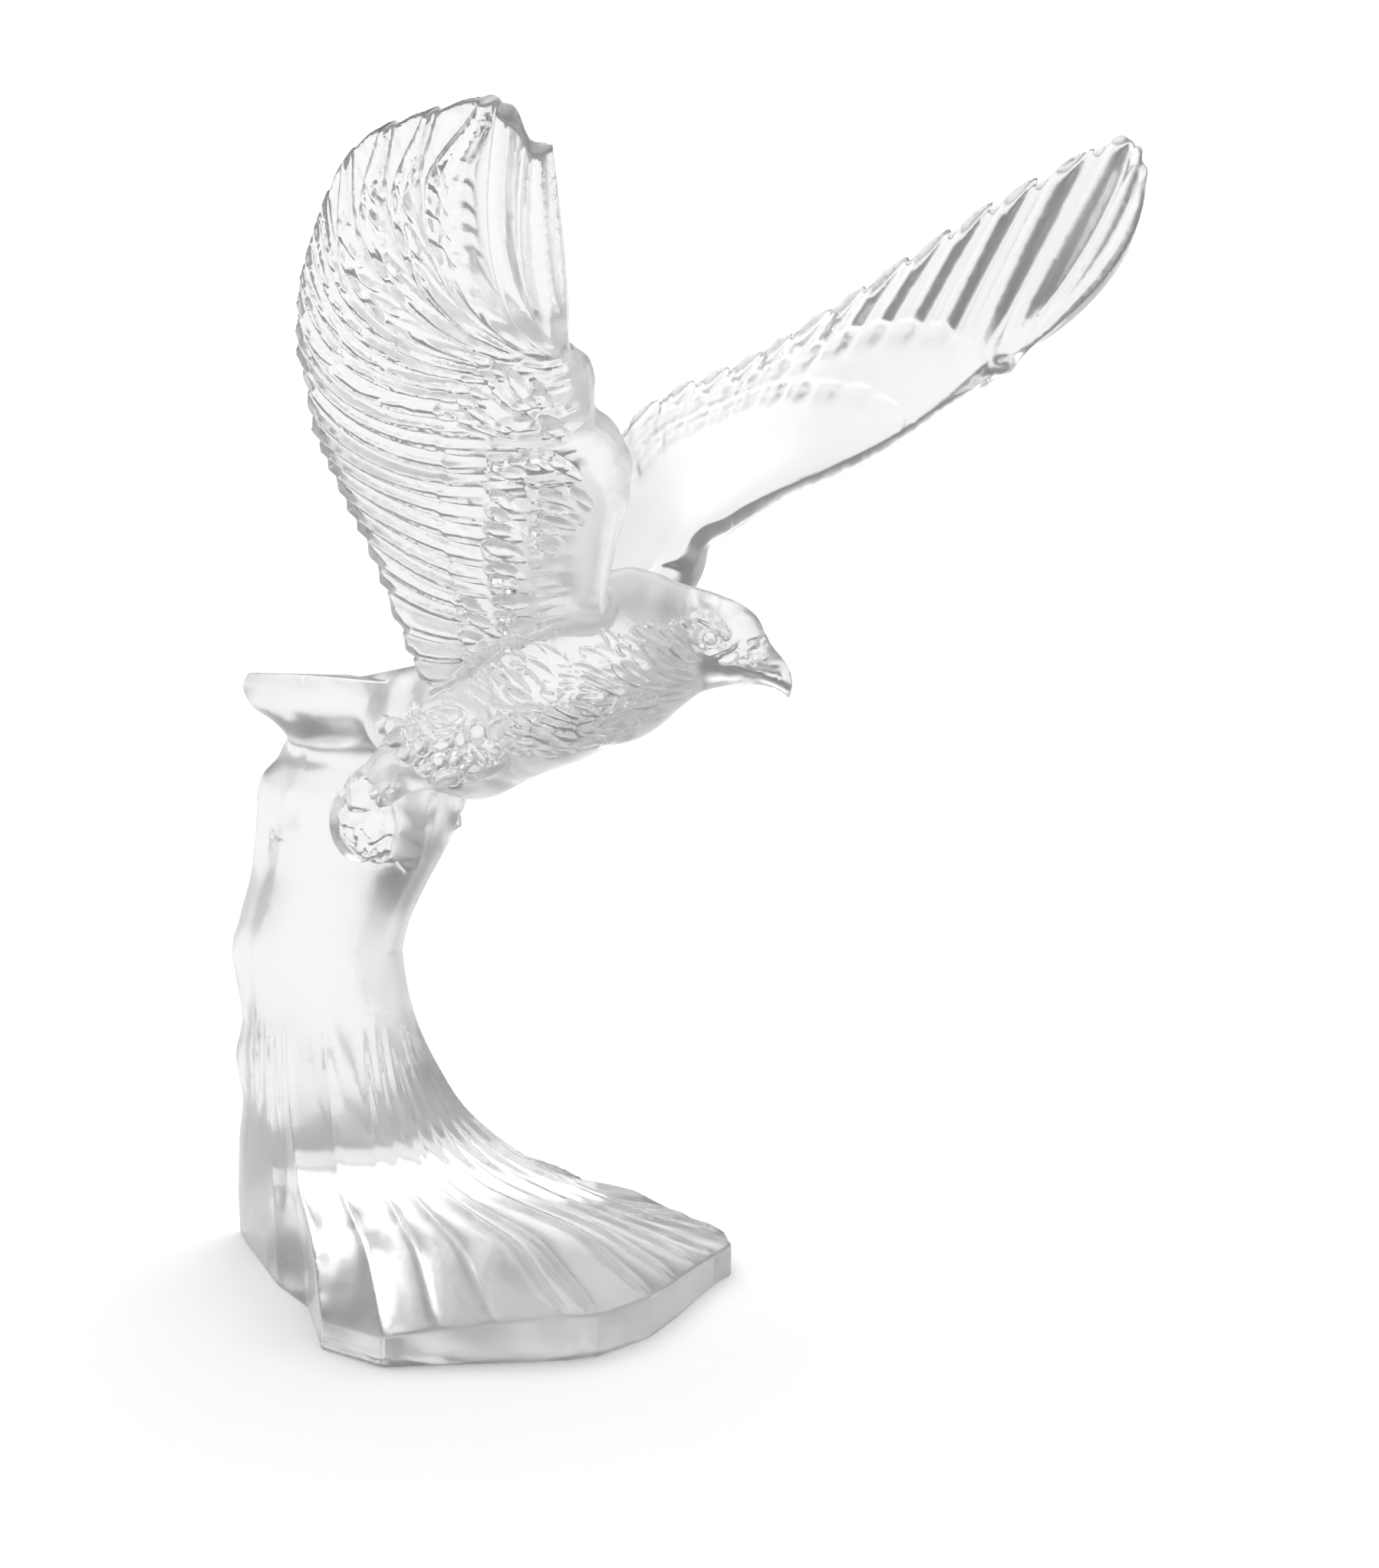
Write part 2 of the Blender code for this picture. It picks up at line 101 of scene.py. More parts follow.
# Where the columns of faces stand between two ridges, crowded towards the ridges
FACET_STEPS = (0.0, 0.025, 0.06, 0.12, 0.22, 0.36, 0.5, 0.64, 0.78, 0.88, 0.94, 0.975)
# The sweep from rim to column: share of the way out, height on a plain ridge, height on a humped one
SWEEP = (
    (1.0, 12, 14), (0.86, 18, 23), (0.72, 23, 30.5), (0.5, 30, 33.5), (0.33, 37.5, 36.5), (0.2, 48, 44.5),
    (0.12, 60, 56), (0.06, 74, 69), (0.02, 90, 86), (0.0, 108, 108), (-0.006, 118, 118),
)
# Rock and tail above the sweep: height, back (x), front (x), half width, narrowing towards the bird
COLUMN = (
    (108, -87, -25, 19.5, 0), (118, -84.5, -22, 19.5, 0), (129, -81, -16.5, 19.5, 0), (142, -79, -9, 20, 0),
    (150, -78, -4.5, 20, 0), (158, -77.5, -1.5, 20, 0), (165, -75, -0.5, 20, 0.05),
    (171, -69, 0, 19.5, 0.1), (176, -66, -2, 19.5, 0.15), (181, -63.5, -4, 21, 0.18),
    (186, -67, -6, 24, 0.25), (190, -74, -8, 25, 0.28), (196, -78, -10, 25, 0.28),
    (201, -75.5, -12, 24, 0.28),
)
ROCK_HEART = (-52.0, 0.0)
COLUMN_BACK = -87.0
COLUMN_LENGTH = 62.0
# Shares of the bar of rings where the upright rim and the sweep end
RIM_PART = 0.05
SWEEP_PART = 0.55
# Hollows between ridges: how they swell along the sweep, where they turn from inwards to downwards (share of
# the way out), and how wide a facet has to be for a full one
FLUTE_SWELL = (1.15, 0.7)
FLUTE_TURN = (0.02, 0.25)
FULL_FLUTE = 12
# Heights between which the ribs fade out
RIB_FADE = (62, 96)
# How far the back of the column stands out at each height
BACK_WAVES = (
    (0, 0), (34, 0.5), (50, -1.2), (64, 0.8), (78, -1.8), (92, 0.4), (102, 2.0), (114, 0.0), (202, 0),
)
TAIL_CROWN = (-40, 0, 202)
TAIL_ROLL = 0.22
TAIL_ROLL_HEIGHTS = (176, 190)
TAIL_END = (5.0, 0.32, 3.0)    # rounding of its corners, where that ends along the tail, droop of its back
SCOOPS = (((-54, 42.0, 163), 24.0), ((-55, -43.6, 160), 26.4))

# Body and head along the spine: top (s, z), bottom (s, z), half width
BODY = (
    (-50, 198, -48, 192, 10), (-34, 202, -36, 182, 14), (-8, 209, -12, 171, 20), (10, 215, 12, 165.5, 25),
    (26, 225, 32, 174.7, 27), (42, 235, 48, 181.3, 28), (56, 243, 61, 187.7, 27), (68, 246.5, 71, 191, 23),
    (78, 245, 79, 196, 18), (85, 242.3, 86, 202.5, 14), (92, 240.3, 92, 207, 11.5),
    (99, 238, 98.5, 208.8, 10.5), (105.3, 235, 104, 209.6, 9.5), (110, 230.8, 108.3, 209.5, 7.6),
    (112.8, 225.6, 111.5, 209.3, 5.4), (115, 221.4, 113.8, 208.8, 4.6), (118.2, 217.8, 116.3, 208, 3.8),
    (120.4, 214, 118, 207, 2.9), (121.4, 210, 119.3, 206, 2.0),
)
BEAK_TIP = (120.4, 204.8)
NECK_BEND = (63.0, 45.0, math.radians(30.0))    # where it starts, its radius, and its turn to the left

# A wing is ruled from a line of feather roots, over a line that bends the feathers, to a line of tips.
# Each row: share of the way from the body to the outermost feather, root, bend, tip
NEAR_WING = (
    (-0.08, (70, -4, 236), (28, 4, 204), (8, -6, 199)), (0.0, (74, -22, 243), (34, -9, 210), (6, -20, 203)),
    (0.19, (95, -46, 275), (41, -38, 235), (6, -55.5, 260)),
    (0.27, (102, -54, 286), (40, -50, 252), (6, -67.5, 276)),
    (0.34, (101, -62, 299), (38, -60, 264), (6, -75.5, 288)),
    (0.42, (99, -70, 305), (32, -67, 274), (8.5, -86.5, 301)),
    (0.5, (102, -76, 313), (20, -74, 284), (12, -95, 317)),
    (0.577, (103, -78.5, 318), (16, -80, 294), (17, -105, 330)),
    (0.69, (103, -81, 322), (22, -89, 308), (31, -120, 354)),
    (0.81, (101, -83.5, 324), (34, -98, 323), (59, -136, 386)),
    (0.9, (100.5, -85.5, 325), (48, -104, 335), (95, -146, 398.5)),
    (0.95, (100, -87, 326), (77, -106, 339), (119, -151, 401)),
    (0.975, (101, -88, 326), (92, -106, 340), (126, -149, 390)),
    (1.0, (101, -88, 327), (111, -103, 342), (132, -146, 388.5)),
)
FAR_WING = (
    (-0.08, (71, 4, 236), (40, 0, 212), (10, 4, 200)), (0.0, (79, 20.5, 240), (46, 14, 232), (12, 22, 214)),
    (0.28, (81, 29.5, 250), (64, 36, 267), (34, 66, 285.5)),
    (0.43, (84, 38, 254), (76, 52, 283), (67, 90, 306)),
    (0.53, (93, 52, 262), (91, 66, 292), (85, 105, 320)),
    (0.63, (105.5, 72, 269.5), (100, 85, 298), (105, 122, 337)),
    (0.73, (116.5, 88, 278), (117, 102, 305), (127, 140, 355)),
    (0.86, (134, 112, 296), (145, 123, 325), (156, 158, 373)),
    (0.93, (138, 120, 300.5), (171, 128.5, 341), (167, 163, 375)),
    (1.0, (139, 122, 302), (190.5, 129, 334), (172, 160, 363)),
)
# Where each flight feather's inner edge stands along the wing, the last one at its outer end
NEAR_EDGES = (
    -0.08, -0.035, 0.015, 0.052, 0.083, 0.128, 0.155, 0.19, 0.22, 0.258, 0.3, 0.34, 0.38, 0.425, 0.465,
    0.517, 0.562, 0.603, 0.65, 0.677, 0.71, 0.735, 0.758, 0.81, 0.86, 0.9, 0.948, 1.0,
)
FAR_EDGES = (
    -0.08, 0.0, 0.06, 0.12, 0.18, 0.245, 0.313, 0.356, 0.395, 0.436, 0.479, 0.538, 0.581, 0.636, 0.686,
    0.736, 0.791, 0.866, 0.941, 1.0,
)
# Where a wing starts, inside the body
WING_ROOT = -0.08
# Section of a flight feather from its overlapping edge to the next one's: share of its width, height
FEATHER_SECTION = (
    (0.0, 0.0), (0.05, 0.75), (0.16, 0.9), (0.28, 0.62), (0.42, 1.0), (0.58, 0.86), (0.74, 0.28),
    (0.88, 0.02), (1.0, 0.0),
)
# Section of the leading feather, with its two long hollows
LEAD_SECTION = ((0.0, 0.0), (0.06, 0.8), (0.18, 1.0), (0.3, 0.55), (0.45, 0.0), (0.58, 0.5), (0.72, 1.0),
                (0.84, 0.7), (0.93, 0.1), (1.0, 0.3))
# Edges of the rows of covering feathers: along the wing, how far out
NEAR_COVERTS = (
    ((-0.08, 0.84), (0.0, 0.8), (0.08, 0.71), (0.2, 0.64), (0.32, 0.57), (0.42, 0.44), (0.6, 0.33),
     (0.7, 0.26), (0.77, 0.17), (0.83, 0.1), (0.9, 0.02), (1.0, -0.1)),
    ((-0.08, 0.56), (0.1, 0.52), (0.22, 0.5), (0.3, 0.42), (0.39, 0.32), (0.5, 0.2), (0.6, 0.1),
     (1.0, -0.3)),
    ((-0.08, 0.36), (0.24, 0.33), (0.29, 0.27), (0.4, 0.2), (0.5, 0.05), (0.6, -0.1), (1.0, -0.4)),
)
FAR_COVERTS = (
    ((-0.08, 0.9), (0.3, 0.88), (0.48, 0.81), (0.6, 0.75), (0.68, 0.645), (0.75, 0.525), (0.82, 0.3),
     (0.87, 0.08), (0.885, -0.1), (1.0, -0.3)),
    ((-0.08, 0.78), (0.3, 0.77), (0.44, 0.72), (0.5, 0.655), (0.57, 0.542), (0.66, 0.385), (0.73, 0.19),
     (0.76, 0.05), (0.775, -0.1), (1.0, -0.4)),
)

# Leg: centre (x, y, z) and radius along thigh and shank, for the near side, and the clenched foot
LEG = (
    (34, -12, 196, 12), (22, -17, 191, 14), (8, -20, 185, 12.5), (-4, -21, 179, 10), (-12, -21, 173, 8),
    (-19, -21, 167, 8), (-21, -21, 161, 5),
)
FOOT = (-19, -20.5, 158)
FOOT_RADII = (10.3, 7.5, 12.4)
# Toes of the clenched foot: where they lie across it, how many stations each has, where round the foot they
# start and how far apart their stations are (degrees), how deep they are sunk, and how their radius shrinks
TOE_SPREADS = (-0.8, 0.0, 0.8)
TOE_STATIONS = 7
TOE_TURN = (95, 36)
TOE_SUNK = (0.8, 0.9)
TOE_TAPER = (1.05, 0.11)
# Where pieces of the cast run softly into each other: centre, radius
FILLETS = (
    ((70, -18, 238), 16), ((76, 14, 240), 16), ((20, -22, 208), 14), ((10, 0, 205), 22),
    ((-20, 0, 200), 24), ((-10, -16, 180), 10), ((5, 0, 168), 16), ((30, 12, 215), 18),
)

# Small feathers by pixel of the photograph, each from its base to its tip, with its width in pixels
THIGH_LEAVES = (
    ((628, 971), (651, 983), 8), ((617, 974), (636, 995), 8), ((609, 1011), (626, 1004), 7),
    ((560, 954), (540, 925), 12), ((585, 947), (560, 936), 12), ((668, 925), (640, 918), 9),
    ((690, 948), (664, 930), 10), ((705, 965), (687, 955), 9), ((720, 978), (696, 972), 9),
)
NECK_LEAVES = (
    ((797, 899), (756, 882), 8), ((810, 887), (786, 871), 6), ((806, 890), (762, 872), 8),
    ((799, 867), (758, 847), 14), ((811, 847), (786, 820), 10), ((850, 850), (809, 831), 10),
    ((847, 888), (811, 864), 13), ((887, 889), (849, 874), 9), ((847, 871), (822, 850), 16),
    ((881, 877), (849, 859), 14), ((856, 847), (820, 820), 7), ((869, 839), (829, 820), 14),
    ((838, 862), (806, 843), 12), ((822, 890), (797, 867), 11), ((862, 862), (834, 838), 12),
    ((876, 831), (858, 816), 11), ((893, 829), (874, 811), 9), ((914, 855), (877, 831), 8),
    ((909, 861), (871, 839), 18), ((905, 822), (888, 808), 7), ((784, 880), (748, 866), 10),
    ((905, 885), (872, 876), 8),
)
BREAST_LEAVES = (
    ((752, 893), (728, 893), 7), ((749, 899), (728, 903), 7), ((743, 904), (727, 913), 7),
    ((782, 900), (754, 896), 7), ((779, 908), (752, 908), 7), ((799, 901), (764, 886), 7),
    ((838, 934), (787, 947), 16), ((790, 951), (752, 951), 14), ((802, 924), (782, 930), 11),
    ((826, 905), (801, 926), 11), ((868, 912), (820, 921), 13), ((893, 906), (856, 909), 8),
    ((724, 969), (690, 951), 15), ((754, 966), (722, 954), 15), ((752, 942), (705, 926), 9),
    ((764, 940), (723, 920), 8), ((710, 945), (680, 928), 10), ((795, 964), (752, 971), 9),
    ((745, 952), (702, 936), 9), ((702, 962), (664, 948), 10), ((722, 930), (682, 918), 9),
    ((830, 952), (790, 966), 9), ((866, 926), (836, 938), 9), ((776, 926), (742, 916), 8),
)
# Rows of small feathers under the larger ones: root of the first and last feather, how many, the run of the
# first and of the last feather, width in pixels
PLUME_ROWS = (
    ((704, 908), (700, 984), 5, (-34, -14), (-34, -6), 11),
    ((730, 892), (728, 980), 6, (-34, -12), (-36, -4), 11),
    ((760, 876), (756, 972), 7, (-34, -12), (-38, -2), 11),
    ((790, 858), (784, 962), 8, (-34, -14), (-38, 2), 11),
    ((818, 842), (814, 954), 8, (-34, -16), (-38, 4), 11),
    ((846, 830), (844, 944), 8, (-32, -16), (-38, 6), 11),
    ((876, 832), (872, 926), 7, (-30, -16), (-36, 4), 10),
    ((906, 848), (902, 900), 4, (-28, -14), (-34, 0), 10),
)
# How those feathers are strewn: along the row (as a share of their spacing), in pixels, and in their length
PLUME_SEED = 3
PLUME_SHIFT = 0.2
PLUME_SCATTER = 5
PLUME_STRETCH = (0.8, 1.15)
# Round scales on the thigh: centre, length and height in pixels
THIGH_SCALES = (
    ((583, 934), (38, 25)), ((579, 956), (27, 14)), ((578, 972), (29, 18)), ((574, 991), (26, 16)),
    ((583, 1013), (36, 20)), ((601, 963), (17, 25)), ((623, 955), (23, 27)), ((651, 955), (29, 28)),
    ((671, 950), (28, 23)), ((676, 971), (30, 15)), ((593, 990), (18, 18)), ((611, 993), (16, 14)),
    ((548, 971), (18, 24)), ((529, 981), (22, 24)), ((512, 954), (33, 38)), ((556, 1000), (20, 18)),
    ((640, 985), (20, 16)), ((700, 940), (22, 14)), ((535, 940), (20, 16)),
)
# Lips of overlapping feathers: the skin on the left of the path stands over the skin on its right
THIGH_LIPS = (
    ((687, 965), (664, 961), (655, 971), (644, 969), (635, 961), (640, 945)),
    ((600, 975), (608, 970), (609, 961)), ((567, 941), (572, 945), (585, 947)),
    ((561, 1002), (572, 1004), (584, 1002)),
    ((532, 990), (560, 1010), (579, 1026), (588, 1035), (603, 1035)), ((640, 918), (660, 927), (685, 947)),
    ((677, 928), (688, 925), (699, 928)),
)
THIGH_GROOVES = (
    ((601, 988), (605, 998), (612, 1003), (620, 1003), (622, 997), (618, 991)), ((592, 970), (583, 983)),
)
# The fan of small feathers round the near wing's wrist, the tips of its inner rows, and the feathers where it
# grows out of the body: base, tip and width
WING_LEAVES = (
    ((672, 574), (588, 540), 14), ((674, 567), (594, 516), 22), ((680, 562), (614, 506), 22),
    ((698, 548), (630, 487), 21), ((688, 533), (643, 474), 18), ((698, 531), (661, 484), 16),
    ((716, 541), (696, 500), 17), ((740, 574), (706, 546), 16),
    ((702, 634), (640, 607), 14), ((718, 612), (662, 600), 12), ((744, 618), (680, 592), 12),
    ((758, 626), (702, 588), 13),
    ((670, 664), (640, 642), 14), ((674, 690), (640, 666), 14), ((680, 706), (634, 686), 16),
    ((684, 732), (632, 708), 19), ((678, 754), (640, 736), 12), ((676, 764), (640, 754), 10),
    ((748, 662), (704, 642), 15), ((762, 684), (702, 656), 14), ((752, 690), (700, 672), 13),
    ((736, 704), (700, 684), 14), ((734, 718), (690, 692), 13), ((728, 726), (700, 708), 10),
    ((772, 664), (744, 638), 10),
    ((640, 808), (600, 782), 14), ((656, 830), (608, 800), 16), ((652, 870), (602, 826), 24),
    ((638, 894), (606, 850), 18), ((642, 918), (608, 886), 18), ((712, 802), (648, 781), 24),
    ((722, 836), (655, 812), 30), ((742, 866), (697, 838), 13), ((716, 866), (676, 834), 20),
    ((694, 876), (654, 846), 24), ((724, 886), (688, 860), 13), ((708, 904), (672, 866), 17),
    ((692, 908), (660, 872), 14), ((670, 918), (642, 874), 19), ((694, 920), (662, 898), 12),
)
# Dark holes between them
WING_HOLES = (
    ((668, 541), (684, 544), (696, 556)), ((699, 547), (707, 549), (714, 558)),
    ((656, 777), (664, 776), (676, 777)), ((659, 812), (658, 820), (662, 828)),
    ((612, 866), (616, 874), (621, 880)), ((680, 872), (682, 880)),
)
# The clenched foot: folds, round pads and claws
FOOT_LIPS = (
    ((484, 1060), (475, 1070), (466, 1076), (452, 1074)), ((473, 1079), (477, 1087), (486, 1093)),
    ((451, 1085), (456, 1094), (466, 1101)), ((479, 1103), (480, 1113)),
    ((441, 1058), (445, 1070), (449, 1079)), ((464, 1110), (471, 1115), (481, 1119)),
    ((490, 1124), (500, 1123), (514, 1116)), ((500, 1040), (500, 1030), (507, 1023), (518, 1026)),
)
FOOT_GROOVES = (
    ((492, 1037), (490, 1047), (494, 1058)), ((474, 1014), (480, 1024), (490, 1027)),
    ((460, 1078), (459, 1093)), ((472, 1080), (471, 1094)), ((478, 1122), (486, 1127), (494, 1130)),
    ((484, 1105), (500, 1096), (512, 1089)), ((452, 1034), (449, 1046), (452, 1060)),
)
FOOT_PADS = (
    ((466, 1046), 13, 1.6), ((458, 1022), 4, 0.6), ((465, 1019), 4, 0.6), ((472, 1014), 4, 0.6),
    ((486, 1034), 4, 0.8), ((510, 1032), 9, 1.2), ((466, 1086), 6, 1.3), ((472, 1107), 7, 1.2),
    ((492, 1108), 6, 1.2), ((506, 1107), 6, 1.1), ((452, 1072), 4, 0.7), ((445, 1090), 5, 0.7),
    ((496, 1120), 4, 0.7), ((484, 1095), 5, 0.8), ((502, 1062), 7, 0.8), ((498, 1078), 6, 0.7),
)
# Chips in the rock: lips round the flake beside the foot and creases below it
ROCK_LIPS = (
    ((407, 1012), (398, 1050), (390, 1068), (371, 1099)), ((371, 1099), (356, 1091), (335, 1049)),
    ((371, 1099), (381, 1109), (413, 1156)), ((480, 1126), (522, 1121), (545, 1121)),
    ((534, 1145), (512, 1120)), ((416, 1162), (448, 1144)), ((541, 1140), (550, 1116), (560, 1080)),
)

# How bold each kind of carving is, as a share of the small feathers' lift, with the width of its slope or
# groove in pixels
PLUME_LIFT = 0.75
WING_LEAF_LIFT = 1.3
THIGH_LIP = (0.6, 6.0)
THIGH_GROOVE = (0.8, 2.4)
WING_HOLE = (2.0, 4.5)
FOOT_LIP = (0.8, 5.0)
FOOT_GROOVE = (1.1, 2.6)
ROCK_LIP = (0.5, 12.0)    # its height in millimetres

# Head, in the plane of its profile: along the spine, height
BROW = ((88.6, 231.3), (91.9, 230.3), (95.6, 228.4), (99.3, 225.1), (101.2, 223.2))
LOWER_LID = ((90.4, 224.4), (91.9, 222.4), (94.7, 220.3), (97.6, 221.3), (100.4, 223.3))
MOUTH = (
    (96.5, 215.9), (98.9, 215.4), (103.5, 215.4), (108.2, 213.6), (113, 212.9), (116.6, 212.4),
    (117.6, 210.4),
)
CERE = ((111.6, 223.9), (109.4, 221.6), (108.6, 218.6), (109.4, 215.6))
EYE = (95.4, 224.0)
# Lines along those paths: how far below the path and how wide in pixels, how deep
EYE_LINES = (
    (BROW, -2, 6.0, -0.7), (BROW, 5, 4.0, 0.9), (LOWER_LID, 0, 3.0, 0.7), (LOWER_LID, 6, 4.0, -0.35),
)
BEAK_LINES = ((MOUTH, 0, 2.2, 0.8), (MOUTH, -6, 4.0, -0.35), (CERE, 0, 3.5, 0.9))
# The hollow round the eye (radius in pixels, height) and its ball (length and height in pixels, lift)
EYE_HOLLOW = (12.0, -0.7)
EYE_BALL = ((15, 15), 1.2)
# Swellings of the beak's side and the forehead, and the cheek's hollow: place, radius in pixels, height
FACE_SWELLS = (((113.2, 219.4), 8.0, 0.9), ((107.0, 228.5), 14.0, 0.7))
CHEEK_HOLLOW = ((104.5, 219.5), 13.0, -0.5)
# Lines of the face by pixel, each with its width in pixels and its depth: the notch between forehead and
# beak, the band from it back to the gape, the groove behind the band, the nostril, the edge over the mouth
FACE_LINES = (
    (((999, 826), (992, 833), (982, 835), (974, 840)), 3.0, 1.3),
    (((992, 838), (976, 843), (960, 855), (940, 866)), 5.0, -0.6),
    (((966, 845), (950, 856), (932, 863)), 4.0, 0.6),
    (((978, 855), (984, 849), (993, 846)), 4.0, 1.5),
    (((960, 867), (982, 863), (1000, 853)), 2.6, -0.4),
)


def srgb(code):
    """Linear colour of a hex sRGB code."""
    parts = [int(code[k:k + 2], 16) / 255 for k in (1, 3, 5)]
    linear = [part / 12.92 if part <= 0.04045 else ((part + 0.055) / 1.055) ** 2.4 for part in parts]
    return (*linear, 1.0)


def add_node(tree, kind, settings=None, links=None):
    """Add a node, set its properties and sockets by name, and link its inputs to other nodes' outputs."""
    node = tree.nodes.new(kind)
    for name, value in (settings or {}).items():
        if name in node.inputs:
            node.inputs[name].default_value = value
        else:
            setattr(node, name, value)
    for name, (other, output) in (links or {}).items():
        tree.links.new(other.outputs[output], node.inputs[name])
    return node


def length(name, description, millimetres):
    """A length that a user may change."""
    return bpy.props.FloatProperty(name=name, description=description, default=millimetres * MM,
                                   subtype="DISTANCE", unit="LENGTH", precision=5)


def count(name, description, default, most=10**6):
    """A whole number that a user may change."""
    return bpy.props.IntProperty(name=name, description=description, default=default, min=1, max=most)


def factor(name, description, default):
    """A share that a user may change."""
    return bpy.props.FloatProperty(name=name, description=description, default=default, subtype="FACTOR")


def direction(turn, rise):
    """The way from the stage to a place round it, by its turn from the bird's right and its rise."""
    flat = math.cos(rise)
    return math.sin(turn) * flat, -math.cos(turn) * flat, math.sin(rise)


def follow(rows, at):
    """Smooth values between rows of (key, values...), for an array of keys."""
    table = np.array([np.hstack([np.ravel(item) for item in row]) for row in rows], float)
    keys, values = table[:, 0], table[:, 1:]
    last = len(keys) - 1
    before = np.maximum(np.arange(last + 1) - 1, 0)
    after = np.minimum(np.arange(last + 1) + 1, last)
    slopes = (values[after] - values[before]) / (keys[after] - keys[before])[:, None]
    at = np.asarray(at, float)
    i = np.clip(np.searchsorted(keys, at, side="right") - 1, 0, last - 1)
    span = (keys[i + 1] - keys[i])[..., None]
    t = (at - keys[i])[..., None] / span
    held = values[i] * (2 * t**3 - 3 * t**2 + 1) + values[i + 1] * (3 * t**2 - 2 * t**3)
    leaning = slopes[i] * (t**3 - 2 * t**2 + t) + slopes[i + 1] * (t**3 - t**2)
    return held + leaning * span


def numbered(rows):
    """The rows with their own number as key."""
    return tuple((k,) + tuple(row) for k, row in enumerate(rows))


def ease(value, low, high):
    """0 below low, 1 above high, smooth between."""
    t = np.clip((value - low) / (high - low), 0.0, 1.0)
    return t * t * (3 - 2 * t)


def swell(value, centre, width):
    """A smooth bump, 1 at its centre."""
    return np.exp(-(((value - centre) / width) ** 2))


def unit(vectors):
    return vectors / np.maximum(np.linalg.norm(vectors, axis=-1, keepdims=True), 1e-9)


def along_rows(rows, at):
    """Straight-line values between rows of (key, value)."""
    table = np.array(rows, float)
    return np.interp(at, table[:, 0], table[:, 1])


def pixels_of(points):
    """The photograph's pixel that each point is seen at, how far off it is, and the way to the camera."""
    back = np.array(direction(CAMERA_TURN, CAMERA_RISE))
    right = np.array((math.cos(CAMERA_TURN), math.sin(CAMERA_TURN), 0.0))
    offset = points - np.array(CAMERA_TARGET)
    depth = CAMERA_DISTANCE - offset @ back
    scale = CAMERA_LENS / SENSOR * PHOTO[1] / depth
    across = PHOTO[0] / 2 + offset @ right * scale
    down = PHOTO[1] / 2 - offset @ np.cross(back, right) * scale
    return np.stack([across, down], axis=-1), depth, back


def start_piece(name):
    """Name the primitive that was just added and open it for editing, with nothing selected."""
    piece = bpy.context.object
    piece.name = name
    piece.data.name = name
    bpy.ops.object.mode_set(mode="EDIT")
    return piece


def points_of(piece):
    points = np.empty(len(piece.data.vertices) * 3)
    piece.data.vertices.foreach_get("co", points)
    return points.reshape(-1, 3)


def put_points(piece, points):
    """Move a piece's corners to these places, in millimetres."""
    piece.data.vertices.foreach_set("co", (points * MM).ravel())
    piece.data.update()


def select_only(piece):
    bpy.ops.object.select_all(action="DESELECT")
    piece.select_set(True)
    bpy.context.view_layer.objects.active = piece


def turn_outwards(piece):
    select_only(piece)
    bpy.ops.object.mode_set(mode="EDIT")
    bpy.ops.mesh.select_all(action="SELECT")
    bpy.ops.mesh.normals_make_consistent(inside=False)
    bpy.ops.object.mode_set(mode="OBJECT")


def bar(name, sides, rings, parts=1):
    """A closed bar of rings, each cut again into parts. Gives the piece, and for each corner its side (a
    whole number), its place along the bar (0 to 1) and whether it closes an end."""
    bpy.ops.object.select_all(action="DESELECT")
    bpy.ops.mesh.primitive_cylinder_add(vertices=sides, radius=1.0, depth=1.0, end_fill_type="TRIFAN")
    piece = start_piece(name)
    bpy.ops.mesh.select_mode(type="EDGE")
    bpy.ops.mesh.select_all(action="DESELECT")
    mesh = bmesh.from_edit_mesh(piece.data)
    for edge in mesh.edges:
        edge.select_set(abs(edge.verts[0].co.z - edge.verts[1].co.z) > 0.5)
    bmesh.update_edit_mesh(piece.data)
    bpy.ops.mesh.subdivide(number_cuts=rings - 1)
    if parts > 1:
        bpy.ops.mesh.subdivide(number_cuts=parts - 1)
    bpy.ops.object.mode_set(mode="OBJECT")
    points = points_of(piece)
    hub = np.hypot(points[:, 0], points[:, 1]) < 0.5
    side = np.rint(np.arctan2(points[:, 1], points[:, 0]) / (2 * math.pi) * sides) % sides
    total = rings * parts
    return piece, side, np.rint((points[:, 2] + 0.5) * total) / total, hub


def plate(name, columns, rows):
    """A closed plate of two faces. Gives the piece, and for each corner its place across and along the
    plate, from 0 to 1, and its face, -1 or 1."""
    bpy.ops.object.select_all(action="DESELECT")
    bpy.ops.mesh.primitive_grid_add(x_subdivisions=columns, y_subdivisions=rows, size=1.0)
    piece = start_piece(name)
    bpy.ops.mesh.select_all(action="SELECT")
    bpy.ops.mesh.extrude_region_move(TRANSFORM_OT_translate={"value": (0, 0, 1)})
    bpy.ops.object.mode_set(mode="OBJECT")
    points = points_of(piece)
    return piece, points[:, 0] + 0.5, points[:, 1] + 0.5, np.where(points[:, 2] > 0.5, 1.0, -1.0)


def ball(name, centre, radii, segments=40):
    """An egg at its place."""
    bpy.ops.object.select_all(action="DESELECT")
    bpy.ops.mesh.primitive_uv_sphere_add(segments=segments, ring_count=segments // 2, radius=1.0)
    piece = start_piece(name)
    bpy.ops.object.mode_set(mode="OBJECT")
    put_points(piece, points_of(piece) * np.array(radii) + np.array(centre))
    return piece


